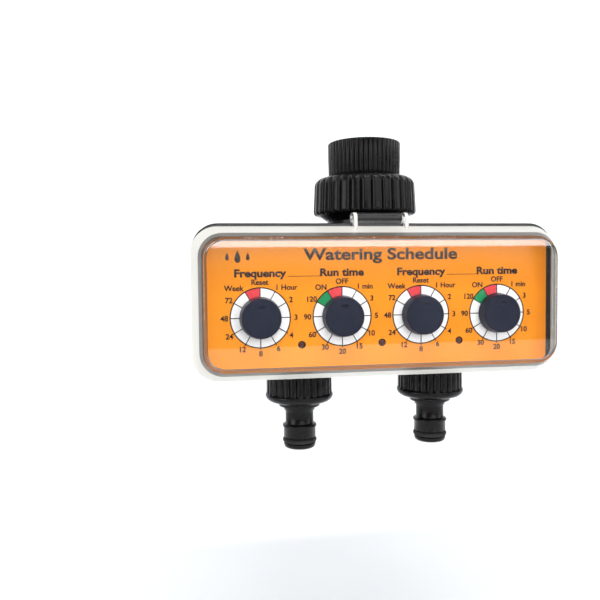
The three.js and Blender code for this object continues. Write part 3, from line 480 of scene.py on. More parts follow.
def dress(made, slot, body, *nodes, angle=32):
    """Gives a piece its finish and its body, and hides the CAD nodes it stands for. Faces square to an axis
    are shaded flat, so that the rounded ones beside them don't bend their reflections."""
    made.data.materials.clear()
    made.data.materials.append(MATERIALS[slot])
    made.data.set_sharp_from_angle(angle=math.radians(angle))
    for face in made.data.polygons:
        face.use_smooth = max(abs(share) for share in face.normal) < SQUARE
    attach(made, body)
    if nodes:
        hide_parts(*nodes)
    return made


# ---------------------------------------------------------------- case
def pipe_holes():
    """Cutters for the neck and the two outlets, through the case's top and bottom walls."""
    neck = rod("Z", (0, 0), NECK_HOLE, CASE.z1 - 4, CASE.z1 + 1, 96)
    outlets = [rod("Z", (outlet.x, 0), OUTLET_HOLE, CASE.z0 - 1, CASE.z0 + 4, 96) for outlet in OUTLETS]
    return [neck, *outlets]


def front_case():
    """The front half: its eased rim holds the panel's recess, and the hinge barrel stands on its top edge."""
    split = -HALF_GAP
    outer = (CASE.width, CASE.height, CASE_CORNER, CASE_MIDDLE)
    recess = (PANEL.width + 0.6, PANEL.height + 0.6, 9.9, PANEL.z)
    window = (PANEL.width - 8, PANEL.height - 8, 5.6, PANEL.z)
    hollow = (CASE.width - 2 * CASE_WALL, CASE.height - 2 * CASE_WALL, CASE_CORNER - CASE_WALL, CASE_MIDDLE)
    shelf = PANEL.y1 + 0.3
    ledge = shelf + 1.7
    rings = edge_rings(*outer, CASE_FRONT, 0.7, 1)
    rings += edge_rings(*outer, split, 0.35, -1, 2)[::-1]
    rings += [rounded_ring(*hollow, split), rounded_ring(*hollow, ledge)]
    rings += [rounded_ring(*window, ledge), rounded_ring(*window, shelf)]
    rings += [rounded_ring(*recess, shelf), rounded_ring(*recess, CASE_FRONT)]
    shell = loft("front_shell", rings, closed=True)
    barrel_ends = [
        (BARREL_RADIUS - 0.4, -BARREL_HALF),
        (BARREL_RADIUS, -BARREL_HALF + 0.4),
        (BARREL_RADIUS, BARREL_HALF - 0.4),
        (BARREL_RADIUS - 0.4, BARREL_HALF),
    ]
    barrel = turned("barrel", barrel_ends, "X", (PIN.y, PIN.z), 64)
    saddle = block(
        -BARREL_HALF + 0.4,
        BARREL_HALF - 0.4,
        PIN.y - BARREL_RADIUS + 0.4,
        PIN.y + BARREL_RADIUS - 0.4,
        CASE.z1 - 0.6,
        PIN.z,
    )
    posts = [rod("Y", (screw.x, screw.z), 3.6, -22, split) for screw in SCREWS]
    combine(shell, "UNION", saddle, barrel, *posts)
    pin_bore = rod("X", (PIN.y, PIN.z), HINGE_BORE, -BARREL_HALF - 1, BARREL_HALF + 1)
    bores = [rod("Y", (screw.x, screw.z), SCREW_PILOT, -9.5, 1, 24) for screw in SCREWS]
    combine(shell, "DIFFERENCE", pin_bore, *pipe_holes(), *bores)
    shell.name = "case_front_half"
    dress(shell, "case_black", "housing", "front_case")


def rear_case():
    """The rear half: rounded rear edges, sunk screw holes, and the tray's slot and guides."""
    outer = (CASE.width, CASE.height, CASE_CORNER, CASE_MIDDLE)
    hollow = (CASE.width - 2 * CASE_WALL, CASE.height - 2 * CASE_WALL, CASE_CORNER - CASE_WALL, CASE_MIDDLE)
    inner_back = CASE.y1 - CASE_WALL
    rings = edge_rings(*outer, CASE.y1, 3, -1, 8)
    rings += edge_rings(*outer, HALF_GAP, 0.35, 1, 2)[::-1]
    rings += [rounded_ring(*hollow, HALF_GAP), rounded_ring(*hollow, inner_back)]
    shell = loft("rear_shell", rings)
    posts = [rod("Y", (screw.x, screw.z), 4.4, HALF_GAP, inner_back + 0.5) for screw in SCREWS]
    guides = []
    for side in (-1, 1):
        edges = sorted((side * (TRAY_HALF + 0.5), side * (TRAY_HALF + 2)))
        guides.append(block(*edges, TRAY_FRONT, inner_back + 0.5, CASE.z0 + 1.9, -64))
    combine(shell, "UNION", *posts, *guides)
    slot = block(*TRAY_SLOT, CASE.z0 - 1, CASE.z0 + CASE_WALL + 0.5)
    bores = [rod("Y", (screw.x, screw.z), SCREW_PILOT, -0.5, COUNTERBORE_FLOOR + 0.5, 24) for screw in SCREWS]
    sinks = [
        turned(
            "sink",
            [
                (COUNTERBORE, COUNTERBORE_FLOOR),
                (COUNTERBORE, CASE.y1 - 0.5),
                (COUNTERBORE + 0.8, CASE.y1 + 0.3),
            ],
            "Y",
            (screw.x, screw.z),
            48,
        )
        for screw in SCREWS
    ]
    combine(shell, "DIFFERENCE", slot, *pipe_holes(), *bores, *sinks)
    shell.name = "case_rear_half"
    dress(shell, "case_black", "housing", "rear_case")


def case_screws():
    """Pan-headed screws with a cross recess."""
    for number, screw in enumerate(SCREWS, 1):
        head = screw.y1
        profile = [
            (0, screw.y0),
            (0.5, screw.y0 + 0.3),
            (1.35, screw.y0 + 2),
            (1.35, head - 2),
            (2.8, head - 2),
            (2.8, head - 1.1),
            *[(radius, head - 1.1 + along) for radius, along in arc((1.7, 0), 1.1, 0, 90, 5)],
            (0, head),
        ]
        piece = turned(f"screw_{number}", profile, "Y", (screw.x, screw.z), 32)
        slots = []
        for wide, tall in ((1.6, 0.35), (0.35, 1.6)):
            slots.append(
                block(screw.x - wide, screw.x + wide, head - 0.9, head + 1, screw.z - tall, screw.z + tall)
            )
        combine(piece, "DIFFERENCE", *slots)
        dress(piece, "steel", "housing", f"case_screw_{number}")


# ---------------------------------------------------------------- flap and hinge
def ear_outline():
    """An ear from the side, as (y, z): round at the pin, with a leg down into the flap's top wall."""
    rear = CASE_FRONT - 0.6
    front = rear - 2.8
    root = LID_TOP - 2
    points = [(rear, root), (rear, CASE.z1 + 0.3), (PIN.y - 1, PIN.z - EAR_RADIUS + 0.2)]
    points += [(PIN.y + y, PIN.z + z) for y, z in arc((0, 0), EAR_RADIUS, -90, 90, 16)]
    points += [(PIN.y - 2.9 + y, PIN.z - 0.5 + z) for y, z in arc((0, 0), 2.8, 90, 165, 8)]
    points += [(front, LID_TOP), (front, root)]
    return points


def flap_surface(wall, ease, steps):
    """Rings of the flap's outer surface, or of its inner one a wall further in, from front to rear."""
    face = LID.y0 + wall
    rings = []
    for step in range(steps + 1):
        angle = step / steps * TURN / 4
        rings.append((face + ease * (1 - math.cos(angle)), ease * (1 - math.sin(angle))))
    rings += [(face + WALL_SPLIT * (LID_REAR - face), 0), (LID_REAR, 0)]
    placed = []
    for y, rounding in rings:
        lean = LID_DRAFT * (LID_REAR - y) / (LID_REAR - LID.y0)
        inset = wall + lean + rounding
        width = LID.width - 2 * inset
        height = LID_TOP - LID.z0 - 2 * inset
        corner = CASE_CORNER - wall - rounding - CORNER_DRAFT * lean
        placed.append(rounded_ring(width, height, corner, PANEL.z, y))
    return placed


def lid():
    """The clear flap: a shallow tray whose walls lean in, with an eased front edge and two hinge ears."""
    outer = flap_surface(0, LID_EDGE, 6)
    inner = flap_surface(LID_WALL, LID_INNER_EDGE, 3)
    shell = loft("flap_shell", outer + inner[::-1])
    ears = []
    for side in (-1, 1):
        near = side * (BARREL_HALF + EAR_GAP)
        far = side * (BARREL_HALF + EAR_GAP + EAR_THICK)
        ear = prism("ear", ear_outline(), lambda point, x: (x, *point), min(near, far), max(near, far))
        ears.append(eased(ear, 0.25))
    combine(shell, "UNION", *ears)
    combine(shell, "DIFFERENCE", rod("X", (PIN.y, PIN.z), HINGE_BORE, -20, 20))
    shell.name = "clear_flap"
    dress(shell, "lid_clear", "lid", "lid")
    shell.data.materials.append(MATERIALS["lid_wall"])
    shell.data.materials.append(MATERIALS["lid_corner"])
    # Painted light: the walls' rear part, the rear rim and the ears' edges take a pale material painted as
    # the reflection of the bright studio, and the walls' front part takes a dark one painted as shade.
    clear, pale, dark = range(3)
    middle = (LID.y0 + LID_REAR) / 2 * MM
    for face in shell.data.polygons:
        on_ear = face.center.z > LID_TOP * MM
        on_rear_rim = face.center.y > (LID_REAR - 0.5) * MM
        if on_ear:
            face.material_index = pale if abs(face.normal.x) < 0.5 else clear
        elif on_rear_rim:
            face.material_index = pale
        elif abs(face.normal.y) < 0.6:
            # Painted shade: the walls' part next to the front takes the dark material, and the rest takes the
            # pale painted reflection.
            face.material_index = pale if face.center.y > middle else dark


def hinge_pin():
    profile = [(0.7, PIN.x0), (1, PIN.x0 + 0.3), (1, PIN.x1 - 0.3), (0.7, PIN.x1)]
    dress(turned("pin", profile, "X", (PIN.y, PIN.z), 32), "steel", "housing", "hinge_pin")


# ---------------------------------------------------------------- panel, face and print
def lamp_holes(radius, y0, y1):
    return [rod("Y", (lamp.x, lamp.z), radius, y0, y1, 32) for lamp in LAMPS]


def control_panel():
    """The black border round the face."""
    size = (PANEL.width, PANEL.height, 9.6, PANEL.z)
    rings = edge_rings(*size, PANEL.y0, 0.6, 1) + edge_rings(*size, PANEL.y1, 0.3, -1, 2)[::-1]
    panel = loft("border", rings)
    holes = [rod("Y", (knob.x, knob.z), 4.7, PANEL.y0 - 1, PANEL.y1 + 1) for knob in KNOBS]
    combine(panel, "DIFFERENCE", *holes, *lamp_holes(1.9, PANEL.y0 - 1, PANEL.y1 + 1))
    dress(panel, "case_black", "housing", "control_panel")


def faceplate():
    """The orange face, a thin plate with holes for the spindles and lamps."""
    size = (PLATE.width, PLATE.height, 3, PLATE.z)
    rings = edge_rings(*size, PLATE.y0, 0.12, 1, 3) + [rounded_ring(*size, PLATE.y1)]
    plate = loft("orange_face", rings)
    holes = [rod("Y", (knob.x, knob.z), DIAL_HOLE, PLATE.y0 - 1, PLATE.y1 + 1) for knob in KNOBS]
    combine(plate, "DIFFERENCE", *holes, *lamp_holes(1.8, PLATE.y0 - 1, PLATE.y1 + 1))
    dress(plate, "face_orange", "housing", "faceplate")


def ring_part(name, knob, inner, outer, start, end, layer):
    """A flat part of a ring printed round a dial. Angles are in degrees clockwise from the top, and layer is
    how many ink layers it stands on."""
    back = PLATE.y0 - layer * INK / 2
    front = back - INK
    steps = max(2, round((end - start) / 3))
    outline = []
    for radius, order in ((inner, range(steps + 1)), (outer, range(steps, -1, -1))):
        for step in order:
            angle = math.radians(start + (end - start) * step / steps)
            outline.append((knob.x + radius * math.sin(angle), knob.z + radius * math.cos(angle)))
    return prism(name, outline, lambda point, y: (point[0], y, point[1]), back, front)


class Lettering:
    """Words and marks printed on the face, gathered into one thin closed mesh."""

    def __init__(self):
        self.points = []
        self.faces = []

    def add(self, points, faces):
        start = len(self.points)
        self.points += points
        self.faces += [tuple(start + index for index in face) for face in faces]

    def word(self, text, x, z, size, align="centre", width=None, bold=0.0):
        """Writes a word with its box's middle, left or right edge at x, and its box's middle at z."""
        curve = bpy.data.curves.new("word", "FONT")
        curve.body = text
        curve.size = size
        curve.extrude = INK / 2
        curve.offset = bold
        curve.resolution_u = 5
        holder = bpy.data.objects.new("word", curve)
        mesh = bpy.data.meshes.new_from_object(holder)
        lows = [min(vertex.co[axis] for vertex in mesh.vertices) for axis in (0, 1)]
        highs = [max(vertex.co[axis] for vertex in mesh.vertices) for axis in (0, 1)]
        stretch = width / (highs[0] - lows[0]) if width else 1
        edge = {"left": lows[0], "centre": (lows[0] + highs[0]) / 2, "right": highs[0]}[align]
        middle = (lows[1] + highs[1]) / 2
        y = PLATE.y0 - 2 * INK
        self.add(
            [
                (x + stretch * (vertex.co.x - edge), y - vertex.co.z, z + vertex.co.y - middle)
                for vertex in mesh.vertices
            ],
            [tuple(face.vertices) for face in mesh.polygons],
        )
        bpy.data.objects.remove(holder)
        bpy.data.curves.remove(curve)
        bpy.data.meshes.remove(mesh)

    def bar(self, x0, z0, x1, z1, thick):
        """A straight printed line between two places."""
        along = Vector((x1 - x0, z1 - z0)).normalized() * thick / 2
        across = (-along[1], along[0])
        corners = [
            (x0 + across[0], z0 + across[1]),
            (x0 - across[0], z0 - across[1]),
            (x1 - across[0], z1 - across[1]),
            (x1 + across[0], z1 + across[1]),
        ]
        front = PLATE.y0 - 2.5 * INK
        points = [(x, y, z) for y in (PLATE.y0 - 1.5 * INK, front) for x, z in corners]
        sides = [(step, (step + 1) % 4, (step + 1) % 4 + 4, step + 4) for step in range(4)]
        self.add(points, [(0, 1, 2, 3), (4, 5, 6, 7), *sides])

    def piece(self, name, slot="print_black"):
        dress(object_from(name, self.points, self.faces), slot, "housing")


FREQUENCY_MARKS = ["Reset", "1 Hour", "2", "3", "4", "6", "8", "12", "24", "48", "72", "Week"]
RUN_TIME_MARKS = ["OFF", "1 min", "3", "5", "10", "15", "20", "30", "60", "90", "120", "ON"]
MARK_SIZE = 3.4
MARK_BOLD = 0.09
MARK_RADIUS = 16.1
STEP_LINE = 4.6  # how far a step's line reaches into the ring
STEP_LINE_WIDTH = 0.42


def dial(number, knob, marks, green):
    """One dial's print: the white ring with its red and green parts, a line at each step, and the marks."""
    white_end = 300 if green else 330
    ring = ring_part(f"dial_{number}_ring", knob, DIAL_HOLE, DIAL_RING, 0, white_end, 0)
    dress(ring, "print_white", "housing")
    stop = ring_part(f"dial_{number}_stop_sector", knob, DIAL_HOLE, DIAL_RING, 330, 360, 0)
    dress(stop, "print_red", "housing")
    if green:
        on = ring_part(f"dial_{number}_on_sector", knob, DIAL_HOLE, DIAL_RING, 300, 330, 0)
        dress(on, "print_green", "housing")
    back, front = PLATE.y0 - 0.5 * INK, PLATE.y0 - 1.5 * INK
    inner, outer = DIAL_RING - DIAL_LINE, DIAL_RING + DIAL_LINE
    section = [(inner, back), (outer, back), (outer, front), (inner, front)]
    outline = turned(f"dial_{number}_outline", section, "Y", (knob.x, knob.z), 120, closed=True)
    dress(outline, "print_black", "housing")
    print_work = Lettering()
    for step, mark in enumerate(marks):
        angle = math.radians(30 * step)
        side, up = math.sin(angle), math.cos(angle)
        past = 0.9 if 3 < step < 9 else 0.2
        print_work.bar(
            knob.x + side * (DIAL_RING - STEP_LINE),
            knob.z + up * (DIAL_RING - STEP_LINE),
            knob.x + side * (DIAL_RING + past),
            knob.z + up * (DIAL_RING + past),
            STEP_LINE_WIDTH,
        )
        if step == 0:
            print_work.word(mark, knob.x, knob.z + MARK_RADIUS - 0.1, MARK_SIZE, bold=MARK_BOLD)
        elif step == 1:
            print_work.word(mark, knob.x + 7.4, knob.z + 13.6, MARK_SIZE, "left", bold=MARK_BOLD)
        elif step == len(marks) - 1:
            print_work.word(mark, knob.x - 7.2, knob.z + 13.4, MARK_SIZE, "right", bold=MARK_BOLD)
        else:
            x, z = knob.x + side * MARK_RADIUS, knob.z + up * MARK_RADIUS
            print_work.word(mark, x, z, MARK_SIZE, bold=MARK_BOLD)
    print_work.piece(f"dial_{number}_marks")


def headings():
    """The words over the dials with a line joining each pair, and the plain title."""
    print_work = Lettering()
    baseline = KNOBS[0].z + 18.5
    size = 4.8
    bold = 0.18
    for first, second in ((0, 1), (2, 3)):
        left, right = KNOBS[first], KNOBS[second]
        print_work.word("Frequency", left.x + 0.3, baseline + 1, size, width=23.4, bold=bold)
        print_work.word("Run time", right.x + 0.1, baseline + 1.6, size, width=20.4, bold=bold)
        print_work.bar(left.x + 12.6, baseline, right.x - 10, baseline, 0.25)
    print_work.word("Watering Schedule", 0, baseline + 9, 7.2, width=73, bold=0.2)
    print_work.piece("face_headings")


def water_drop():
    """A plain drop with a smaller one on each side, in the face's top left corner."""
    middle_x = PLATE.x0 + 15.3
    middle_z = PLATE.z1 - 7
    steps = 28
    mark = Lettering()
    for shift, size in ((-4.6, 0.62), (0, 1), (4.6, 0.62)):
        outline = []
        for step in range(steps):
            angle = TURN * step / steps
            narrow = math.sin(angle / 2) ** 1.5
            outline.append((1.9 * size * math.sin(angle) * narrow, 2.9 * size * math.cos(angle)))
        points = [
            (middle_x + shift + x, y, middle_z + z)
            for y in (PLATE.y0 - 1.5 * INK, PLATE.y0 - 2.5 * INK)
            for x, z in outline
        ]
        sides = [
            (step, (step + 1) % steps, (step + 1) % steps + steps, step + steps) for step in range(steps)
        ]
        mark.add(points, [tuple(range(steps)), tuple(range(steps, 2 * steps)), *sides])
    mark.piece("face_drops")


def knobs():
    """Flat round knobs that taper a little, with an eased rim, a blind bore and a shallow pointer dimple."""
    taper = 0.6
    ease = 0.7
    bore = 3.3
    bore_depth = 4.6
    dimple_rise = 4.9
    for name, knob in zip(KNOB_NAMES, KNOBS):
        radius = knob.width / 2
        tip = radius - taper
        rim = arc((tip - ease, 0), ease, 90, 0, 8)
        profile = [
            (0, knob.y0),
            *[(reach, knob.y0 + ease - up) for reach, up in rim],
            (radius, knob.y1 - 0.3),
            (radius - 0.3, knob.y1),
            (bore, knob.y1),
            (bore, knob.y1 - bore_depth),
            (0, knob.y1 - bore_depth),
        ]
        piece = turned(f"{name}_cap", profile, "Y", (knob.x, knob.z), 96)
        dimple = turned("dimple", [(0, -1), *arc((0, 0), 1, -75, 75, 10), (0, 1)], "Y", (0, 0), 32)
        place = Matrix.Translation((knob.x * MM, (knob.y0 - 0.3) * MM, (knob.z + dimple_rise) * MM))
        dimple.matrix_world = place @ Matrix.Diagonal((1.8, 0.95, 0.8, 1))
        combine(piece, "DIFFERENCE", dimple)
        dress(piece, "knob_dark", name, name)


def lamps():
    """Lamps with a low dome in front."""
    for number, lamp in enumerate(LAMPS, 1):
        radius = lamp.width / 2
        dome = [(reach, lamp.y0 + 0.75 * (1 - up)) for reach, up in arc((0, 0), 1, 90, 0, 8)]
        profile = [(radius * reach, along) for reach, along in dome] + [(radius, lamp.y1), (0, lamp.y1)]
        piece = turned(f"lamp_{number}", profile, "Y", (lamp.x, lamp.z), 32)
        dress(piece, "lamp_red", "housing", f"status_lamp_{number}")


# ---------------------------------------------------------------- pipes and nozzles
def round_ribs(count, sharpness):
    """Ribs with a round crest: the valley's share at an angle."""
    return lambda angle: abs(2 * (angle / TURN * count % 1) - 1) ** sharpness


def swivel_nut():
    """The coarse-ribbed nut: a round shoulder above, a slight flare down, a cone skirt and a wide bore."""
    radius = NUT.width / 2
    bottom = NUT.z0 + 2.4
    height = NUT.z1 - bottom
    flare = 0.6
    crown = 4.2
    groove = 1.4
    steps = 8
    crest = []
    for step in range(steps + 1):
        angle = step / steps * TURN / 4
        reach = radius - flare - crown * (1 - math.sin(angle))
        crest.append((reach, NUT.z1 - crown * (1 - math.cos(angle)), groove * (step / steps) ** 2))
    wall = []
    for share in (0.33, 0.67, 1):
        reach = radius - flare + flare * share
        wall.append((reach, NUT.z1 - crown - share * (height - crown - 2), groove))
    foot = [
        (radius - 0.1, bottom + 1.2, 1.2),
        (radius - 0.6, bottom + 0.5, 0.7),
        (radius - 1.6, bottom + 0.1, 0.2),
        (radius - 3, bottom, 0),
    ]
    skirt = [(22.4, bottom - 0.2, 0), (19.4, NUT.z0 + 0.1, 0), (19.1, NUT.z0, 0)]
    bore = [(15.1, NUT.z0, 0), (15.1, -31.5, 0), (16.9, -31.5, 0), (16.9, NUT.z1, 0)]
    profile = crest + wall + foot + skirt + bore
    piece = turned("nut", profile, sides=360, closed=True, valley=round_ribs(30, 4))
    dress(piece, "fitting_black", "inlet_swivel", "swivel_nut", angle=50)


def reducer_bush():
    """The fine-ribbed collar over the nut, with its shank and its water bore."""
    radius = BUSH.width / 2
    collar = -17.3
    outer = [
        (radius - 1.3, 0),
        (radius - 0.5, -0.15, 0.2),
        (radius - 0.05, -0.6, 0.75),
        (radius - 0.1, -8, 0.75),
        (radius - 0.3, collar + 0.8, 0.75),
        (radius - 0.9, collar + 0.1, 0.2),
        (radius - 1.6, collar, 0),
    ]
    inner = [(16.6, collar), (16.6, BUSH.z0 + 0.6), (16.1, BUSH.z0), (9.5, BUSH.z0), (9.5, -15)]
    mouth = [(12.1, -15), (12.1, -0.7), (12.8, 0)]
    profile = outer + inner + mouth
    piece = turned("bush", profile, sides=384, closed=True, valley=round_ribs(48, 3))
    dress(piece, "fitting_black", "inlet_swivel", "reducer_bush", angle=50)


def bush_thread():
    """The thread in the collar's bore: a sharp ridge wound on a helix, fading at both ends."""
    pitch = 1.81
    turns = 6
    steps = 72
    rings = []
    for step in range(turns * steps + 1):
        share = step / (turns * steps)
        angle = TURN * step / steps
        middle = -1.9 - pitch * step / steps
        tall = 0.9 * min(1, 12 * share + 0.1, 12 * (1 - share) + 0.1)
        rings.append(
            [
                spot("Z", (0, 0), 12.15, angle, middle + 0.75),
                spot("Z", (0, 0), 12.15, angle, middle - 0.75),
                spot("Z", (0, 0), 12.1 - tall, angle, middle - 0.12),
                spot("Z", (0, 0), 12.1 - tall, angle, middle + 0.12),
            ]
        )
    dress(loft("bush_thread_ridge", rings), "fitting_black", "inlet_swivel", angle=30)


def inlet_manifold():
    """The neck under the nut with its shoulder, and the cross tube and sockets inside the case."""
    neck_radius = 14.7
    shoulder = 18.7
    inside = CASE.z1 - CASE_WALL
    top = NUT.z0 - 0.3
    cross = -64
    profile = [
        (0, cross + 2),
        (neck_radius - 2, cross + 2),
        (neck_radius - 2, inside - 2.3),
        (shoulder - 0.2, inside - 2.3),
        (shoulder - 0.2, inside - 0.3),
        (neck_radius + 1.2, inside - 0.3),
        (neck_radius + 1.2, CASE.z1 + 0.3),
        (shoulder - 0.4, CASE.z1 + 0.3),
        (shoulder, CASE.z1 + 0.7),
        (shoulder, top - 0.4),
        (shoulder - 0.4, top),
        (neck_radius, top),
        (neck_radius, -31.2),
        (16.2, -31.2),
        (16.2, MANIFOLD.z1 - 0.3),
        (15.9, MANIFOLD.z1),
        (0, MANIFOLD.z1),
    ]
    neck = turned("neck", profile, sides=96)
    tube = rod("X", (0, cross), 10.2, MANIFOLD.x0, MANIFOLD.x1, 64)
    sockets = [rod("Z", (outlet.x, 0), 13, cross, -78, 64) for outlet in OUTLETS]
    combine(neck, "UNION", tube, *sockets)
    bores = [rod("Z", (outlet.x, 0), 6.8, cross, -79) for outlet in OUTLETS]
    waterway = rod("Z", (0, 0), 9.2, MANIFOLD.z1 + 1, cross, 64)
    across = rod("X", (0, cross), 7, MANIFOLD.x0 + 4.5, MANIFOLD.x1 - 4.5)
    combine(neck, "DIFFERENCE", waterway, across, *bores)
    neck.name = "neck_and_cross_tube"
    dress(neck, "fitting_black", "housing", "inlet_manifold")


def outlet_adapters():
    """The moulded click nozzles: a ribbed cup with a flared rim, a flange, a stepped neck, a catch ring, and
    the grooved nozzle with its O-ring."""
    for side, outlet in zip(SIDES, OUTLETS):
        top = outlet.z1
        end = outlet.z0
        ring = end + 3.8
        cup = [
            (15.6, top, 0),
            (16.0, top - 0.1, 0.2),
            (16.3, top - 0.5, 0.9),
            (16.35, top - 4, 0.9),
            (16.4, -123.9, 0.9),
            (16.5, -124.5, 0.4),
            (16.75, -124.9, 0),
        ]
        rim = [
            (16.9, -125.2, 0),
            (16.9, -125.8, 0),
            (16.7, -126.5, 0),
            (16.1, -127.4, 0),
            (14.9, -128.3, 0),
            (13.2, -128.9, 0),
            (11.4, -129.3, 0),
            (10.5, -129.5, 0),
            (10.3, -129.7, 0),
            (10.3, -130.8, 0),
            (10.1, -131.1, 0),
        ]
        waist = [
            (8.3, -131.2, 0),
            (7.9, -131.6, 0),
            (7.75, -132.9, 0),
            (7.15, -133.5, 0),
            (7, -134.2, 0),
        ]
        catch = [
            (7, -139.6, 0),
            (7.2, -140, 0),
            (8.1, -140.3, 0),
            (8.5, -140.7, 0),
            (8.55, -141.2, 0),
            (8.3, -141.8, 0),
            (7.95, -142.2, 0),
        ]
        nozzle = [
            (8, ring + 1.6, 0),
            (7.85, ring + 1.45, 0),
            (5.85, ring + 1.45, 0),
            (5.85, ring - 1.45, 0),
            (7.85, ring - 1.45, 0),
            (8, ring - 1.6, 0),
            (7.9, end + 1.2, 0),
            (7.5, end + 0.4, 0),
            (6.8, end, 0),
            (5, end, 0),
            (4.6, end + 0.4, 0),
        ]
        inside = [(4.6, -126.2, 0), (13.5, -126.2, 0), (13.5, top - 0.6, 0), (14.1, top, 0)]
        profile = cup + rim + waist + catch + nozzle + inside
        piece = turned(
            f"nozzle_{side}", profile, centre=(outlet.x, 0), sides=336, closed=True, valley=round_ribs(28, 3)
        )
        dress(piece, "fitting_black", "housing", f"outlet_adapter_{side}", angle=50)
        section = arc((7.35, ring), 1.19, 0, 360 - 360 / 24, 23)
        seal = turned(f"seal_ring_{side}", section, centre=(outlet.x, 0), closed=True)
        dress(seal, "black_rubber", "housing", f"nozzle_o_ring_{side}")


# ---------------------------------------------------------------- battery tray
def battery_tray():
    """The tray's open box, its cover plate with a ribbed finger grip, and the seal above the plate."""
    plate_top = SEAL.z0 - 0.3
    plate_bottom = plate_top - 2.6
    body = block(-TRAY_HALF, TRAY_HALF, TRAY_FRONT, 24.9, plate_top - 0.1, TRAY.z1, 0.3)
    pocket = block(-12.6, 12.6, 13.9, 26, -111.3, TRAY.z1 + 1)
    combine(body, "DIFFERENCE", pocket)
    plate = block(TRAY.x0, TRAY.x1, TRAY.y0, TRAY.y1, plate_bottom, plate_top, 0.6)
    grip = block(-9, 9, 17.6, 19.8, TRAY.z0, plate_bottom + 0.5, 0.5)
    divider = block(-0.4, 0.4, 13.5, 17, -109.3, TRAY.z1 - 4)
    combine(body, "UNION", plate, grip, divider)
    grooves = []
    for step in range(-6, 7):
        x = 1.2 * step
        for y in (17.4, 19.75):
            grooves.append(block(x - 0.25, x + 0.25, y, y + 0.25, TRAY.z0 + 0.6, plate_bottom - 0.3))
    combine(body, "DIFFERENCE", *grooves)
    body.name = "tray"
    dress(body, "case_black", "battery_tray", "battery_tray")
    seal = block(SEAL.x0, SEAL.x1, SEAL.y0, SEAL.y1, SEAL.z0, SEAL.z1, 0.25)
    combine(seal, "DIFFERENCE", block(*TRAY_SLOT, SEAL.z0 - 1, SEAL.z1 + 1))
    seal.name = "tray_seal"
    dress(seal, "black_rubber", "battery_tray", "battery_tray_seal")


# ---------------------------------------------------------------- nodes kept as they are
def carried_over():
    """Gives each CAD node that still shows the finish of its slot."""
    finish = {part["node"]: part["material_slot"] for part in frame["record"]["subparts"]}
    for name, node in frame["nodes"].items():
        if node.hide_render:
            continue
        node.data.materials.clear()
        node.data.materials.append(MATERIALS[finish[name]])


# ---------------------------------------------------------------- studio
def plain_material(name, colour, rough):
    surface = Surface(name)
    darker = tuple(0.97 * value for value in colour)
    surface.colour(surface.mix(surface.remap(surface.noise(6, 3), 0, 1), colour, darker))
    surface.set(roughness=rough)
    return surface.material


def sweep():
    """A pale floor that curves up into a backdrop."""
    floor = -260
    near, bend, wall = -1400, 700, 1300
    rise = wall - bend
    line = [(near, floor)]
    for step in range(25):
        angle = math.radians(90 * step / 24)
        line.append((bend + rise * math.sin(angle), floor + rise * (1 - math.cos(angle))))
    line.append((wall, floor + 2600))
    half = 2400
    points = [(x, y, z) for y, z in line for x in (-half, half)]
    faces = [(2 * step, 2 * step + 1, 2 * step + 3, 2 * step + 2) for step in range(len(line) - 1)]
    made = object_from("studio_sweep", points, faces)
    made.data.polygons.foreach_set("use_smooth", [True] * len(made.data.polygons))
    made.data.materials.append(plain_material("studio_paper", (0.9, 0.92, 0.94), 0.7))


def lamp(name, place, target, size, power):
    """A soft rectangular light, size in metres, that looks from place to target."""
    data = bpy.data.lights.new(name, "AREA")
    data.shape = "RECTANGLE"
    data.size, data.size_y = size
    data.energy = power
    made = bpy.data.objects.new(name, data)
    made.location = place
    made.rotation_euler = (Vector(target) - Vector(place)).to_track_quat("-Z", "Y").to_euler()
    bpy.context.scene.collection.objects.link(made)


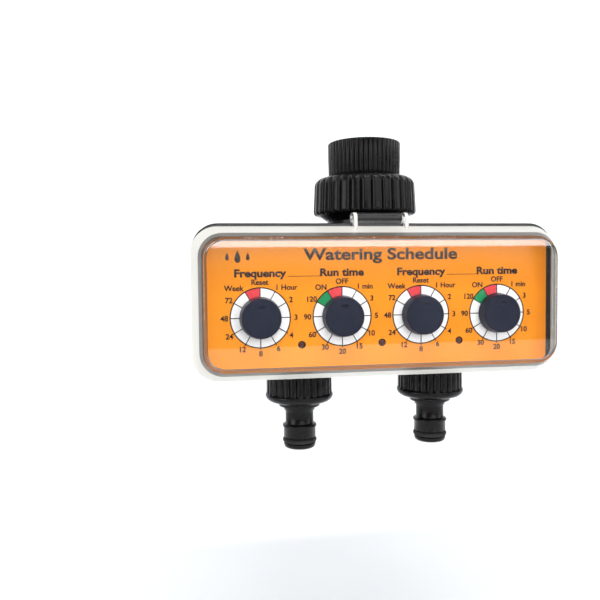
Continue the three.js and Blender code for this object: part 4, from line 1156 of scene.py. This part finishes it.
def studio_lights():
    """A wide soft key above the camera, a bright strip that is mirrored along the top of the face, a thin
    tube for the crisp lines on the round parts, soft fills, and lamps behind the object that light the
    backdrop."""
    middle = (0, 0, -0.08)
    lamp("key", (0.6, -2.3, 1.2), (0.6, 0, 0.5), (3.4, 1.6), 33)
    lamp("strip", (0.68, -2.3, 0.1), (0.68, 0, 0.1), (1.6, 0.13), 5)
    lamp("tube", (0.05, -0.7, 1.35), (0, 0, -0.04), (1.3, 0.03), 9)
    lamp("top", (0.1, -0.1, 1.5), middle, (1.6, 1.2), 3)
    lamp("left_fill", (-1.9, -0.9, 0.1), middle, (1.2, 1.6), 20)
    lamp("right_fill", (1.9, -0.7, 0.1), middle, (1.2, 1.6), 12)
    for side in (-1, 1):
        lamp("backdrop", (1.1 * side, 0.35, 0.9), (0.35 * side, 1.3, 0.1), (1, 1), 8)
    world = bpy.data.worlds.new("studio")
    world.use_nodes = True
    world.node_tree.nodes["Background"].inputs["Color"].default_value = (0.93, 0.96, 1, 1)
    world.node_tree.nodes["Background"].inputs["Strength"].default_value = 0.15
    bpy.context.scene.world = world
    bpy.context.scene.view_settings.view_transform = "Standard"


def camera():
    """The view from the front left, level with the face: turned right, tipped down, and rolled a little."""
    place = (-0.08205, -0.31384, -0.06385)
    turn_right, tip_down, roll = math.radians(8.81), math.radians(2.585), math.radians(-0.66)
    level = Matrix.Rotation(tip_down, 3, "X") @ Matrix.Rotation(turn_right, 3, "Z")
    right, ahead, up = Matrix.Rotation(roll, 3, "Y") @ level
    data = bpy.data.cameras.new("camera")
    data.lens = 38.04
    data.sensor_width = 36
    made = bpy.data.objects.new("camera", data)
    axes = Matrix((right, up, -ahead)).transposed().to_4x4()
    made.matrix_world = Matrix.Translation(place) @ axes
    bpy.context.scene.collection.objects.link(made)
    bpy.context.scene.camera = made


front_case()
rear_case()
case_screws()
lid()
hinge_pin()
control_panel()
faceplate()
for index, knob_span in enumerate(KNOBS):
    runs = index % 2 == 1
    dial(index + 1, knob_span, RUN_TIME_MARKS if runs else FREQUENCY_MARKS, runs)
headings()
water_drop()
knobs()
lamps()
swivel_nut()
reducer_bush()
bush_thread()
inlet_manifold()
outlet_adapters()
battery_tray()
carried_over()
sweep()
studio_lights()
camera()
